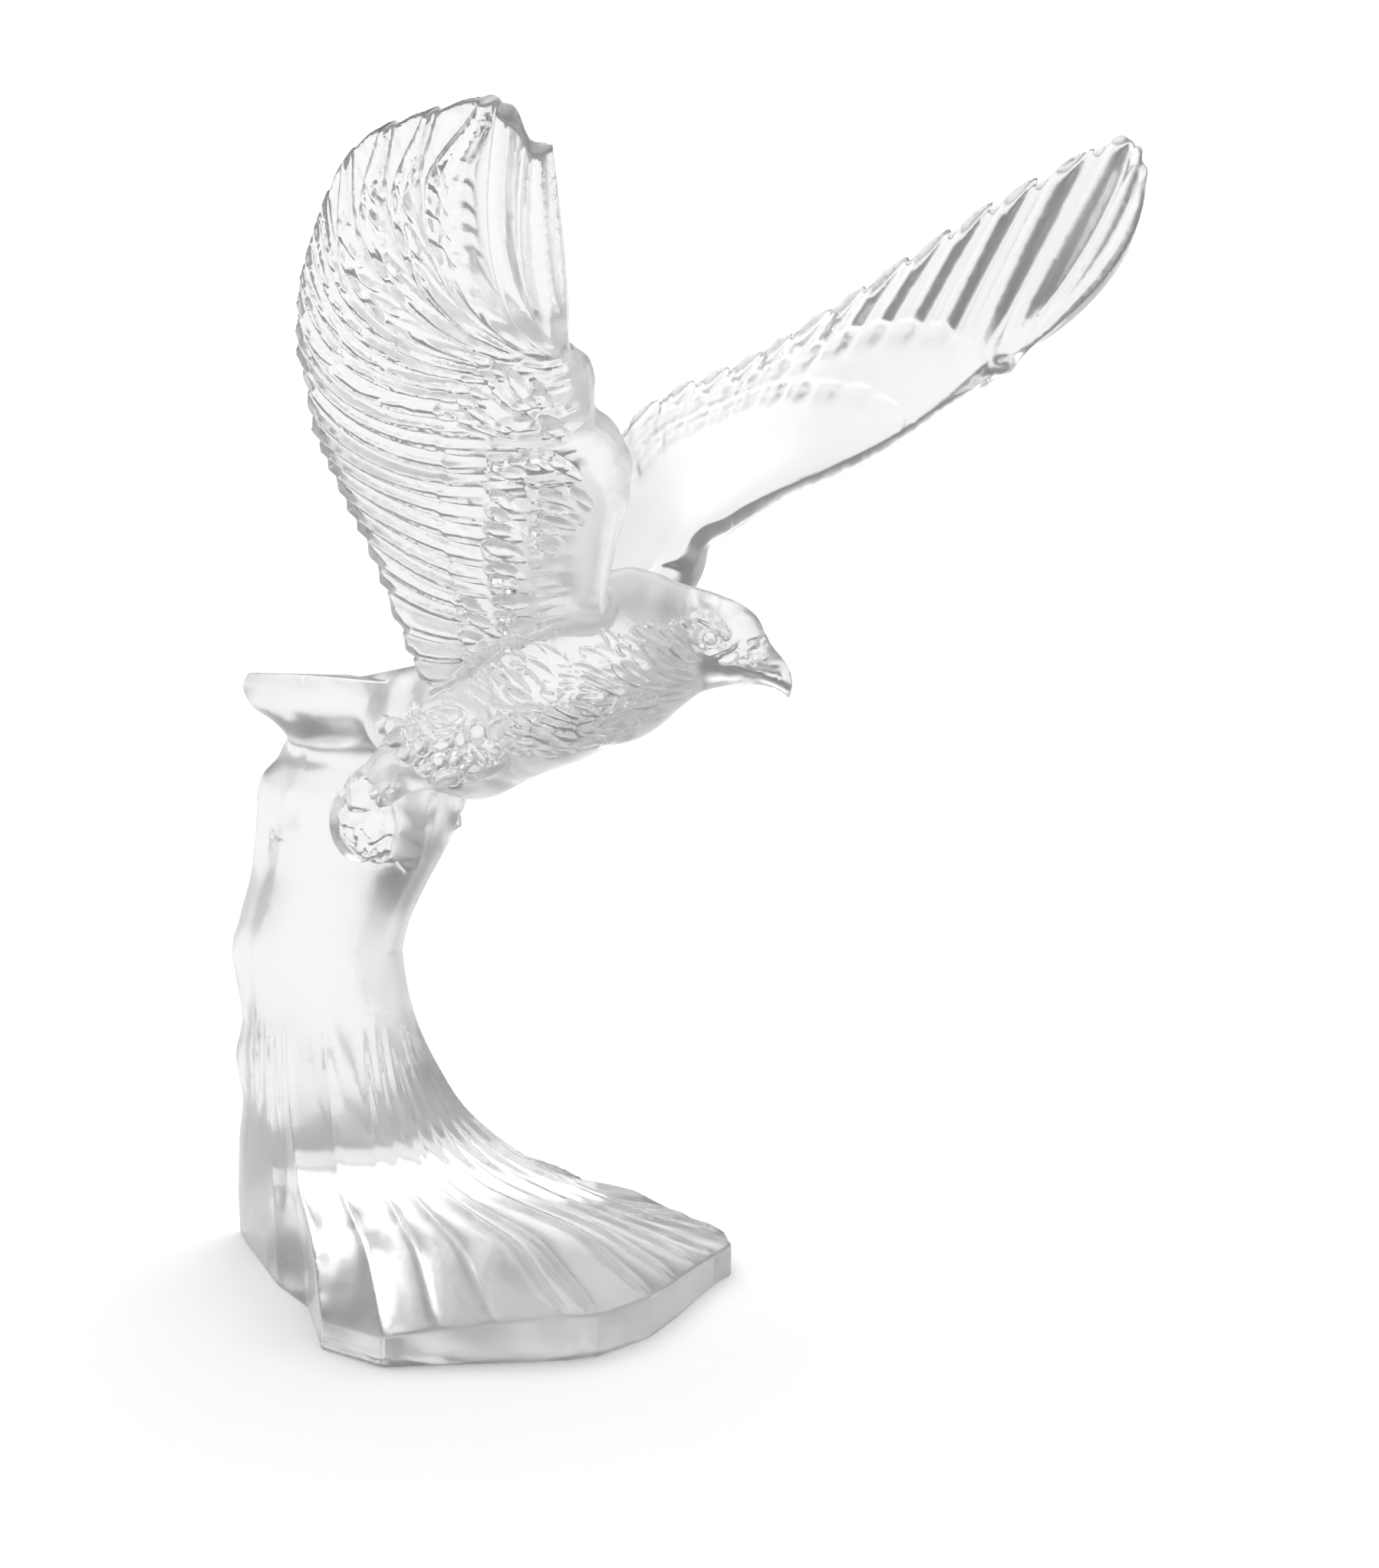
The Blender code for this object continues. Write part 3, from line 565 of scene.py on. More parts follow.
def limb(name, stations, sides=36, rings=60):
    """A limb over (x, y, z, radius) stations, square to its own path."""
    piece, side, level, hub = bar(name, sides, rings)
    at = level * (len(stations) - 1)
    rows = numbered(stations)
    here = follow(rows, at)
    ahead = follow(rows, np.minimum(at + 0.05, len(stations) - 1))
    behind = follow(rows, np.maximum(at - 0.05, 0))
    along = unit(ahead[:, :3] - behind[:, :3])
    across = unit(np.cross(along, (0.0, 1.0, 0.0)))
    other = np.cross(along, across)
    angle = (side / sides * 2 * math.pi)[:, None]
    radius = np.where(hub, 0.0, here[:, 3])[:, None]
    put_points(piece, here[:, :3] + (across * np.cos(angle) + other * np.sin(angle)) * radius)
    turn_outwards(piece)
    return piece


def column_section(table, corner, share):
    """Where a column of faces stands on the upright column: a smooth ring through the ridges' places, with a
    corner at each sharp ridge."""
    places = table[:, 4:6]
    ahead = np.roll(places, -1, axis=0) - places
    gap = np.linalg.norm(ahead, axis=1, keepdims=True)
    leaving = ahead / gap
    coming = np.roll(leaving, 1, axis=0)
    gap_before = np.roll(gap, 1, axis=0)
    soft = (leaving * gap_before + coming * gap) / (gap + gap_before)
    sharp = np.isin(np.arange(len(table)), SHARP_RIDGES)[:, None]
    start = np.where(sharp, leaving, soft)[corner] * gap[corner]
    following = (corner + 1) % len(table)
    end = np.where(sharp, coming, soft)[following] * gap[corner]
    t = share[:, None]
    held = places[corner] * (2 * t**3 - 3 * t**2 + 1) + places[following] * (3 * t**2 - 2 * t**3)
    return held + start * (t**3 - 2 * t**2 + t) + end * (t**3 - t**2)


def shape_rock(settings):
    """Base, column and tail: facets between ridges, each ridge with a fine rib along its crest."""
    facets = len(RIDGES)
    steps = len(FACET_STEPS)
    piece, side, level, hub = bar("rock", facets * steps, settings.rock_rings, 4)
    corner = (side // steps).astype(int) % facets
    share = np.array(FACET_STEPS)[(side % steps).astype(int)]
    table = np.array(RIDGES, float)
    here, following = table[corner], table[(corner + 1) % facets]
    x, y, rim, hump = (here * (1 - share[:, None]) + following * share[:, None])[:, :4].T
    column_x, column_y = column_section(table, corner, share).T

    # A ring's place: the upright rim, then the sweep, then the column and the tail
    at_sweep = np.clip((level - RIM_PART) / (SWEEP_PART - RIM_PART), 0, 1) * (len(SWEEP) - 2)
    at_column = np.clip((level - SWEEP_PART) / (1 - SWEEP_PART), 0, 1) * (len(COLUMN) - 1)
    out, plain, humped = follow(numbered(SWEEP), at_sweep).T
    height = plain + (humped - plain) * hump
    foot = SWEEP[0][1] + (SWEEP[0][2] - SWEEP[0][1]) * hump
    height = height + (rim - foot) * np.clip((out - SWEEP[1][0]) / (1 - SWEEP[1][0]), 0, 1)
    height = np.where(level < RIM_PART, rim * level / RIM_PART, height)
    place = np.stack([column_x + (x - column_x) * out, column_y + (y - column_y) * out, height], axis=1)

    # Hollow each facet, and raise a rib on each ridge
    heart = np.array([*ROCK_HEART, 0.0])
    inward = unit((heart - place) * np.array([1, 1, 0]))
    width = np.hypot(*(ridge_place(table, corner, out) - ridge_place(table, corner + 1, out)).T)
    reach, bulge = FLUTE_SWELL
    swing = np.sin(math.pi * np.clip(reach * (1 - out), 0, 1) ** bulge)
    hollow = settings.flute_depth / MM * 4 * share * (1 - share) * swing * np.minimum(1, width / FULL_FLUTE)
    down = ease(out, *FLUTE_TURN)[:, None]
    into = unit(inward * (1 - down) + np.array([0, 0, -1.0]) * down)
    place += into * hollow[:, None]
    to_ridge = np.minimum(share, 1 - share) * width
    rib = settings.rib_height / MM * swell(to_ridge, 0, settings.rib_width / MM)
    rib *= 1 - ease(place[:, 2], *RIB_FADE)
    place -= into * (rib * ease(level, RIM_PART, RIM_PART + 0.02))[:, None]

    # Column and tail
    row = follow(numbered(COLUMN), at_column)
    share_along = np.clip((column_x - COLUMN_BACK) / COLUMN_LENGTH, 0, 1)
    flat_below, rolled_above = TAIL_ROLL_HEIGHTS
    rolled = np.clip((row[:, 0] - flat_below) / (rolled_above - flat_below), 0, 1)
    rounding, corner_end, droop = TAIL_END
    upper_x = row[:, 1] + share_along * (row[:, 2] - row[:, 1])
    upper_x -= rounding * rolled * np.sin(math.pi * np.minimum(1, share_along / corner_end))
    upper_y = column_y / COLUMN[0][3] * row[:, 3] * (1 - row[:, 4] * share_along)
    upper_z = row[:, 0] - rolled * (TAIL_ROLL * upper_y + droop * (1 - share_along) ** 2)
    place = np.where((level > SWEEP_PART)[:, None], np.stack([upper_x, upper_y, upper_z], axis=1), place)
    at_back = 1 - ease(share_along, 0.1, 0.4)
    place[:, 0] -= follow(BACK_WAVES, np.clip(place[:, 2], 0, BACK_WAVES[-1][0]))[:, 0] * at_back
    place[hub & (level < 0.5)] = (0, 0, 0)
    place[hub & (level > 0.5)] = TAIL_CROWN
    put_points(piece, place)
    turn_outwards(piece)
    return piece


def ridge_place(table, corner, out):
    """Plan of a ridge at this share of the way out."""
    ridge = table[corner % len(table)]
    return ridge[:, 4:6] + (ridge[:, 0:2] - ridge[:, 4:6]) * out[:, None]


def spine(s):
    """Place and heading of the spine, which bends to the bird's left at the neck."""
    start, radius, turn = NECK_BEND
    reach = np.maximum(np.asarray(s, float) - start, 0.0)
    angle = np.minimum(turn, reach / radius)
    rest = reach - radius * angle
    x = np.minimum(s, start) + radius * np.sin(angle) + rest * np.cos(angle)
    y = radius * (1 - np.cos(angle)) + rest * np.sin(angle)
    return x, y, angle


def spine_points(s, side, z):
    """Places in millimetres, by the way along the spine, the way to the bird's left and the height."""
    x, y, angle = spine(s)
    height = np.broadcast_to(z, np.shape(x))
    return np.stack([x - np.sin(angle) * side, y + np.cos(angle) * side, height], axis=-1)


def spine_places(points):
    """For each point, how far along the spine it is, and how far to the bird's left."""
    start, radius, turn = NECK_BEND
    x, y = points[:, 0] - start, points[:, 1]
    angle = np.clip(np.arctan2(x, radius - y), 0, turn)
    end = np.array([radius * math.sin(turn), radius * (1 - math.cos(turn))])
    heading = np.array([math.cos(turn), math.sin(turn)])
    reach = (x - end[0]) * heading[0] + (y - end[1]) * heading[1]
    s = np.where(x <= 0, x, np.where(angle < turn, radius * angle, radius * turn + reach))
    across = (y - end[1]) * heading[0] - (x - end[0]) * heading[1]
    side = np.where(x <= 0, y, np.where(angle < turn, radius - np.hypot(x, radius - y), across))
    return s + start, side


def in_profile(places):
    """The pixels of (along the spine, height) places in the plane of the head's profile."""
    places = np.array(places, float)
    return pixels_of(spine_points(places[:, 0], 0.0, places[:, 1]))[0]


def shape_body(settings):
    """Rump, breast, neck, head and beak as one loft of ovals."""
    sides = settings.body_sides
    piece, side, level, hub = bar("body", sides, settings.body_rings, 3)
    rows = numbered(BODY)
    top_s, top_z, low_s, low_z, half = follow(rows, level * (len(BODY) - 1)).T
    angle = side / sides * 2 * math.pi
    rise = (1 + np.sin(angle)) / 2
    width = np.where(hub, 0, half * np.cos(angle))
    rise = np.where(hub, 0.5, rise)
    points = spine_points(low_s + (top_s - low_s) * rise, width, low_z + (top_z - low_z) * rise)
    points[hub & (level > 0.5)] = spine_points(np.array(BEAK_TIP[0]), 0.0, BEAK_TIP[1])
    put_points(piece, points)
    turn_outwards(piece)
    return piece


def wing_points(rows, along, out):
    """Places on a wing, along it and out towards its tips."""
    places = follow(rows, along)
    out = out[:, None]
    return places[:, :3] * (1 - out) ** 2 + places[:, 3:6] * 2 * out * (1 - out) + places[:, 6:] * out**2


def wing_normals(rows, along, out):
    """The way that the wing's upper face looks at those places."""
    small = 0.01
    ahead, behind = np.clip(along + small, WING_ROOT, 1), np.clip(along - small, WING_ROOT, 1)
    wide = wing_points(rows, ahead, out) - wing_points(rows, behind, out)
    outer, inner = np.clip(out + small, 0, 1), np.clip(out - small, 0, 1)
    long = wing_points(rows, along, outer) - wing_points(rows, along, inner)
    return unit(np.cross(wide, long))


# Cuts where a feather's vane has parted, in two groups: where the first starts (as a share of the feather's
# length, between these), how far on the second is, how many cuts each has, how far apart they are, how far in
# across the feather they run, and how far their soft and their sharp side reach
SLASH_START = (0.58, 0.68)
SLASH_GROUP = 0.25
SLASH_COUNT = (2, 4)
SLASH_GAP = (0.07, 0.11)
SLASH_REACH = (0.5, 0.85)
SLASH_SIDES = (0.022, 0.01)


def slashes(number, share, out, seed, slant):
    """Short slanting cuts where a feather's vane has parted: their depth, 0 to 1."""
    random = np.random.default_rng(seed)
    soft, sharp = SLASH_SIDES
    depth = np.zeros_like(out)
    for feather in range(int(number.max()) + 1):
        mine = number == feather
        across = share[mine]
        for group in range(2):
            place = random.uniform(*SLASH_START) + SLASH_GROUP * group
            for _ in range(random.integers(*SLASH_COUNT)):
                reach = random.uniform(*SLASH_REACH)
                gap = out[mine] - (place - slant * across)
                cut = np.where(gap < 0, swell(gap, 0, soft), swell(gap, 0, sharp))
                cut *= (1 - ease(across, reach * 0.6, reach)) * ease(across, 0.06, 0.16)
                depth[mine] = np.maximum(depth[mine], cut)
                place += random.uniform(*SLASH_GAP)
    return depth


def shape_wing(name, rows, edges, coverts, pointed, notch_rule, columns, seed, bold, settings):
    """A curved plate with overlapping flight feathers and stepped rows of covering feathers on both faces.
    How bold the wing is, 0 to 1, sets its cuts, its leading feather and the lobes of its rows."""
    feathers = len(edges) - 1
    piece, across, out, face = plate(name, feathers * columns, settings.wing_rows)
    number = across * feathers
    along = np.interp(number, np.arange(feathers + 1), edges)
    along -= settings.rake * (1 - out) * ease(along, WING_ROOT, 0.3) * (1 - ease(along, 0.55, 0.86))
    feather = np.minimum(np.floor(number + 1e-6), feathers - 1)
    share = number - feather
    out = out * (1 - notch_rule(number, share) * ease(out, 0.5, 1.0))

    # Flight feathers, the same way round on both faces
    tip = pointed(number) * ease(out, 0.8, 1.0) * 0.7
    inside = np.clip((share - tip) / (1 - tip), 0, 1)
    height = follow(FEATHER_SECTION, inside)[:, 0] * ease(share, tip - 0.01, tip + 0.03)
    depth = settings.feather_depth / MM * (1 + ease(along, 0.62, 0.9))
    lead = (number >= feathers - 1) * 1.0
    crests = 0.5 + bold * (follow(LEAD_SECTION, number - feathers + 1)[:, 0] - 0.5)
    height = height * (1 - lead) + lead * crests
    cuts = slashes(feather, share, out, seed, settings.slash_slant)
    outer = ease(number, feathers * 0.6, feathers * 0.68)
    outer = outer * (1 - ease(number, feathers - 1.6, feathers - 1.5))
    cuts *= outer * (bold == 1)
    relief = (height - 0.5) * depth * ease(out, 0.1, 0.35)
    relief -= cuts * settings.slash_depth / MM * ease(out, 0.42, 0.5)

    # Rows of covering feathers, each a step above the last and falling back towards the bone
    for k, edge_rows in enumerate(coverts):
        turned = (number + 0.5 * k) % 1
        lobe = np.sqrt(np.clip(1 - np.abs(2 * turned - 1) ** 2.2, 0, 1))
        inwards = along_rows(edge_rows, along) + settings.covert_lobe * bold * (lobe - 0.7) - out
        under = ease(inwards, -0.001, 0.007)
        row = (follow(FEATHER_SECTION, turned)[:, 0] - 1) * settings.covert_depth / MM
        row *= (0.4 + 0.6 * bold) * (1 - ease(inwards, 0.03, 0.18))
        step = settings.covert_step / MM * (1 - 0.7 * ease(inwards, 0.0, 0.13))
        shadow = 0.35 * settings.covert_step / MM * np.exp(np.minimum(inwards, 0) / 0.03)
        relief = (relief - shadow) * (1 - under) + under * (step + row)

    # The plate's own thickness, with the bone near its root
    arm = swell(out, 0.1, 0.17) * settings.arm_swell / MM * np.clip((0.72 - along) / 0.3, 0.3, 1.0)
    blade = (settings.tip_thickness + settings.wing_thinning * (1 - out) * 2) / MM
    half = (blade + arm) * np.minimum(1.0, 0.45 + out / 0.1) / 2
    middle, upright = wing_points(rows, along, out), wing_normals(rows, along, out)
    hidden = upright @ pixels_of(middle)[2] * face < 0
    half = np.maximum(half + relief * np.where(hidden, settings.hidden_relief, 1.0), settings.least_half / MM)
    put_points(piece, middle + upright * (face * half)[:, None])
    turn_outwards(piece)
    return piece


# The near wing's feathers between which the ends turn from round to pointed
POINTED = (19, 23)


def near_points(number):
    """How pointed the near wing's feathers are."""
    return ease(number, *POINTED)


def far_points(number):
    """The far wing's feathers have no points."""
    return 0 * number


def near_notch(number, share):
    """Ends of the near wing's feathers: rounded below on the inner ones, nearly smooth on the outer ones."""
    return (0.034 * (1 - ease(number, *POINTED)) + 0.008) * (1 - ease(share, 0.0, 0.42))


def far_notch(number, share):
    """Ends of the far wing's feathers: saw teeth that rise to a round tip."""
    size = 0.052 * ease(number, 4, 7) * (1 - ease(number, 16.5, 18)) + 0.006
    return size * ((1 - ease(share, 0.0, 0.85)) + ease(share, 0.9, 1.0))


def shape_legs(settings):
    """Both thighs, shanks and clenched feet."""
    pieces = []
    toe_radius = settings.toe_radius / MM
    for side in (-1, 1):
        stations = [(x, -side * y, z, radius) for x, y, z, radius in LEG]
        pieces.append(limb("leg", stations))
        centre = np.array((FOOT[0], -side * FOOT[1], FOOT[2]))
        pieces.append(ball("foot", centre, FOOT_RADII))
        for spread in TOE_SPREADS:
            toe = []
            for step in range(TOE_STATIONS):
                bend = math.radians(TOE_TURN[0] + TOE_TURN[1] * step)
                ahead = (FOOT_RADII[0] - TOE_SUNK[0]) * math.cos(bend)
                above = (FOOT_RADII[2] - TOE_SUNK[1]) * math.sin(bend)
                over = centre + np.array((ahead, side * (1.5 + FOOT_RADII[1] * spread * 0.6), above))
                toe.append((*over, toe_radius * (TOE_TAPER[0] - TOE_TAPER[1] * step)))
            pieces.append(limb("toe", toe, 20, 40))
    return pieces


# How far behind the nearest skin a carving still reaches, so that it marks no piece behind
CARVED_LAYER = 16.0
REFINED_LAYER = 60.0
# How squarely the skin has to face the camera to be carved
FACING = 0.08
# The body's far side: this far to the bird's left, above this height and ahead of this place on the spine
FAR_SIDE = (1.0, 140, -40)
# The groove round a small feather, round a scale and below a lip: its depth as a share of their lift, how far
# from their edge it is deepest and how wide it is, in pixels
LEAF_MOAT = (0.9, 1.8, 1.8)
SCALE_MOAT = (0.8, 1.8, 1.7)
LIP_MOAT = (0.6, -2.6, 2.0)


class Skin:
    """The cast's surface as arrays in millimetres, with the pixel of the photograph that each point is seen
    at. A point on the body's far side also has its twin's pixel, so that a carving can come out on both."""

    def __init__(self, piece):
        self.piece = piece
        self.points = points_of(piece) / MM
        normals = np.empty(len(self.points) * 3)
        piece.data.vertex_normals.foreach_get("vector", normals)
        self.normals = normals.reshape(-1, 3)
        self.lift = np.zeros(len(self.points))
        every = np.arange(len(self.points))
        self.own = self.sight(every, self.points, self.normals)
        s, side = spine_places(self.points)
        left_of, above, ahead_of = FAR_SIDE
        far = np.flatnonzero((side > left_of) & (self.points[:, 2] > above) & (s > ahead_of))
        heading = spine(s[far])[2]
        left = np.stack([-np.sin(heading), np.cos(heading), np.zeros(len(far))], axis=1)
        normals = self.normals[far] - 2 * np.sum(self.normals[far] * left, axis=1, keepdims=True) * left
        self.twin = self.sight(far, spine_points(s[far], -side[far], self.points[far, 2]), normals)

    def sight(self, which, points, normals):
        """The points that face the camera, their pixels and their depths."""
        pixels, depth, back = pixels_of(points)
        facing = normals @ back > FACING
        return which[facing], pixels[facing], depth[facing]

    def seen(self, path, spare, both, layer=CARVED_LAYER):
        """The points seen within a path's box of pixels and no deeper than the layer behind the first."""
        low, high = np.min(path, axis=0) - spare, np.max(path, axis=0) + spare
        for which, pixels, depth in (self.own, self.twin) if both else (self.own,):
            inside = np.flatnonzero(np.all((pixels > low) & (pixels < high), axis=1))
            if len(inside):
                first = np.percentile(self.nearest(low, high), 5)
                inside = inside[depth[inside] < first + layer]
                yield which[inside], pixels[inside]

    def nearest(self, low, high):
        """Depths of the skin that is seen in a box of pixels."""
        pixels, depth = self.own[1:]
        return depth[np.all((pixels > low) & (pixels < high), axis=1)]

    def leaf(self, base, tip, width, lift, both=True):
        """Raise a small feather: sunk at its base, proud at its tip, with a groove round it."""
        base, tip = np.array(base, float), np.array(tip, float)
        middle, reach = (base + tip) / 2, np.linalg.norm(tip - base) / 2
        forward = (tip - base) / (2 * reach)
        for found, pixels in self.seen((base, tip), width, both):
            offset = pixels - middle
            along = offset @ forward / reach
            across = np.abs(offset @ np.array((-forward[1], forward[0])))
            ahead = np.clip(along, 0, 1)
            pointed = (1 - ahead) ** 0.65 * (1 + 0.55 * ahead)
            outline = np.where(along > 0, pointed, np.sqrt(np.clip(1 - along**2, 0, 1))) * width / 2
            inside = ease(outline - across, -0.4, 1.6)
            crown = 1 - 0.4 * np.clip(across / np.maximum(outline, 1.0), 0, 1) ** 2
            height = lift * (0.2 + 0.8 * ease(along, -1.0, 0.5)) * crown
            self.lift[found] = np.maximum(self.lift[found], inside * height)
            depth, away, wide = LEAF_MOAT
            moat = swell(across - outline, away, wide) * (np.abs(along) < 1.15) * ease(along, -1.1, -0.3)
            self.lift[found] -= depth * lift * moat * (1 - inside)

    def scale(self, centre, size, lift, both=True):
        """Raise a round scale with a crisp edge and a groove round it."""
        centre, half = np.array(centre, float), np.array(size, float) / 2
        for found, pixels in self.seen((centre - half, centre + half), 4.0, both):
            far = np.linalg.norm((pixels - centre) / half, axis=1)
            edge = (far - 1) * half.min()
            dome = lift * (0.55 + 0.45 * np.sqrt(np.clip(1 - far**2, 0, 1))) * ease(-edge, -0.5, 1.8)
            self.lift[found] = np.maximum(self.lift[found], dome)
            depth, away, wide = SCALE_MOAT
            self.lift[found] -= depth * lift * swell(edge, away, wide)

    def measure(self, path, found_pixels):
        """How far each pixel is from a path, on which side, and how far along it."""
        path = np.array(path, float)
        best = np.full(len(found_pixels), np.inf)
        left = np.ones(len(found_pixels))
        at = np.zeros(len(found_pixels))
        for k, (a, b) in enumerate(zip(path, path[1:])):
            run = b - a
            t = np.clip((found_pixels - a) @ run / np.dot(run, run), 0, 1)
            off = found_pixels - a - t[:, None] * run
            gap = np.hypot(*off.T)
            closer = gap < best
            left = np.where(closer, np.where(run[0] * off[:, 1] - run[1] * off[:, 0] < 0, 1.0, -1.0), left)
            at = np.where(closer, (k + t) / (len(path) - 1), at)
            best = np.minimum(best, gap)
        return best, left, at

    def lip(self, path, lift, spread=9.0, both=False):
        """Let the skin on the left of a path stand over the skin on its right."""
        for found, pixels in self.seen(path, 3 * spread, both):
            gap, left, at = self.measure(path, pixels)
            taper = ease(at, -0.01, 0.16) * (1 - ease(at, 0.8, 1.0))
            signed = gap * left
            raised = lift * np.exp(-np.maximum(signed, 0) / spread) * ease(signed, -2.2, 0.6)
            depth, away, wide = LIP_MOAT
            groove = depth * lift * swell(signed, away, wide)
            self.lift[found] += (raised - groove) * taper

    def groove(self, path, width, depth, both=False):
        """Cut a groove along a path of pixels, or raise a cord where depth is negative."""
        for found, pixels in self.seen(path, 3 * width, both):
            gap, _, at = self.measure(path, pixels)
            taper = ease(at, -0.01, 0.15) * (1 - ease(at, 0.85, 1.01))
            self.lift[found] -= depth * swell(gap, 0, width) * taper

    def dome(self, centre, radius, lift, both=False):
        """Swell or dent the surface round a pixel."""
        centre = np.array(centre, float)
        for found, pixels in self.seen((centre, centre), 2.2 * radius, both):
            gap = np.linalg.norm(pixels - centre, axis=1)
            self.lift[found] += lift * swell(gap, 0, radius)

    def scoop(self, centre, radius):
        """Cut a round hollow: push what is inside this ball out to its skin."""
        offset = self.points - np.array(centre, float)
        found = np.linalg.norm(offset, axis=1) < radius
        self.points[found] = centre + unit(offset[found]) * radius

    def finish(self):
        """Move the skin out or in by what was carved."""
        put_points(self.piece, self.points + self.normals * self.lift[:, None])


def apply_modifier(piece, name, kind, settings):
    modifier = piece.modifiers.new(name, kind)
    for key, value in settings.items():
        setattr(modifier, key, value)
    select_only(piece)
    bpy.ops.object.modifier_apply(modifier=name)


# Triangles this near to flat are evened out, and narrower ones than this (in millimetres) are dissolved
NEARLY_FLAT = math.radians(8)
SLIVER = 0.002


def clean(eagle):
    """Even out the triangles and delete the crumbs that the thinning left loose."""
    bpy.ops.object.mode_set(mode="EDIT")
    bpy.ops.mesh.select_mode(type="VERT")
    bpy.ops.mesh.select_all(action="SELECT")
    bpy.ops.mesh.beautify_fill(angle_limit=NEARLY_FLAT)
    bpy.ops.mesh.dissolve_degenerate(threshold=SLIVER * MM)
    bpy.ops.mesh.select_all(action="DESELECT")
    bpy.ops.object.mode_set(mode="OBJECT")
    lowest = int(points_of(eagle)[:, 2].argmin())
    eagle.data.vertices[lowest].select = True
    bpy.ops.object.mode_set(mode="EDIT")
    bpy.ops.mesh.select_linked()
    bpy.ops.mesh.select_all(action="INVERT")
    bpy.ops.mesh.delete(type="VERT")
    bpy.ops.object.mode_set(mode="OBJECT")


# Boxes of pixels where the carving is fine: left, top, right, bottom
FINE_PLACES = ((750, 795, 1010, 910), (680, 880, 900, 980), (500, 910, 720, 1042), (430, 1000, 560, 1135),
               (595, 755, 750, 935), (590, 465, 760, 640), (625, 635, 775, 765))


# Heights between which the rock's own smoothing fades out
ROCK_END = (120, 150)


def fuse(pieces, settings):
    """Make one skin over all pieces, with soft joints and a finer net where the carving is fine."""
    bpy.ops.object.select_all(action="DESELECT")
    for piece in pieces:
        piece.select_set(True)
    eagle = pieces[0]
    bpy.context.view_layer.objects.active = eagle
    bpy.ops.object.join()
    eagle.name = "eagle"
    eagle.data.name = "eagle"
    apply_modifier(eagle, "skin", "REMESH", {"mode": "VOXEL", "voxel_size": settings.voxel})
    points = points_of(eagle) / MM
    weight = np.zeros(len(points))
    for centre, radius in FILLETS:
        weight = np.maximum(weight, 1 - ease(np.linalg.norm(points - centre, axis=1), radius * 0.4, radius))
    soften(eagle, "joints", weight, settings.fillet_steps)
    soften(eagle, "rock", 1 - ease(points[:, 2], *ROCK_END), settings.rock_steps)
    apply_modifier(eagle, "soften", "SMOOTH", {"factor": 0.5, "iterations": settings.soften_steps})
    refine(eagle)
    return eagle


def soften(eagle, name, weight, steps):
    """Smooth the skin as far as each point's weight lets it."""
    group = eagle.vertex_groups.new(name=name)
    for level in range(1, 5):
        chosen = np.flatnonzero((weight > (level - 1) / 4) & (weight <= level / 4))
        group.add([int(k) for k in chosen], level / 4, "REPLACE")
    apply_modifier(eagle, name, "SMOOTH", {"factor": 0.5, "iterations": steps, "vertex_group": name})
    eagle.vertex_groups.clear()


def refine(eagle):
    """Cut each face in four where the carving is fine, on the side that the camera sees and on its twin."""
    skin = Skin(eagle)
    fine = np.zeros(len(skin.points), bool)
    for left, top, right, bottom in FINE_PLACES:
        corners = np.array(((left, top), (right, bottom)), float)
        for found, _ in skin.seen(corners, 0.0, True, REFINED_LAYER):
            fine[found] = True
    faces = np.empty(len(eagle.data.polygons) * 4, int)
    eagle.data.polygons.foreach_get("vertices", faces)
    chosen = fine[faces.reshape(-1, 4)].all(axis=1)
    bpy.ops.object.mode_set(mode="EDIT")
    bpy.ops.mesh.select_mode(type="FACE")
    bpy.ops.mesh.select_all(action="DESELECT")
    bpy.ops.object.mode_set(mode="OBJECT")
    eagle.data.polygons.foreach_set("select", chosen)
    bpy.ops.object.mode_set(mode="EDIT")
    bpy.ops.mesh.subdivide(number_cuts=1, smoothness=0.0)
    bpy.ops.object.mode_set(mode="OBJECT")


def carve_head(skin):
    """Brow, eye, nostril and mouth, on both sides. A line with a negative depth stands out as a cord."""
    for path, down, width, depth in EYE_LINES:
        skin.groove(in_profile(path) + (0, down), width, depth, both=True)
    eye = in_profile((EYE,))[0]
    skin.dome(eye, *EYE_HOLLOW, both=True)
    skin.scale(eye, *EYE_BALL)
    for path, down, width, depth in BEAK_LINES:
        skin.groove(in_profile(path) + (0, down), width, depth, both=True)
    for place, radius, height in FACE_SWELLS:
        skin.dome(in_profile((place,))[0], radius, height, both=True)
    for path, width, depth in FACE_LINES:
        skin.groove(path, width, depth, both=True)
    place, radius, height = CHEEK_HOLLOW
    skin.dome(in_profile((place,))[0], radius, height, both=True)


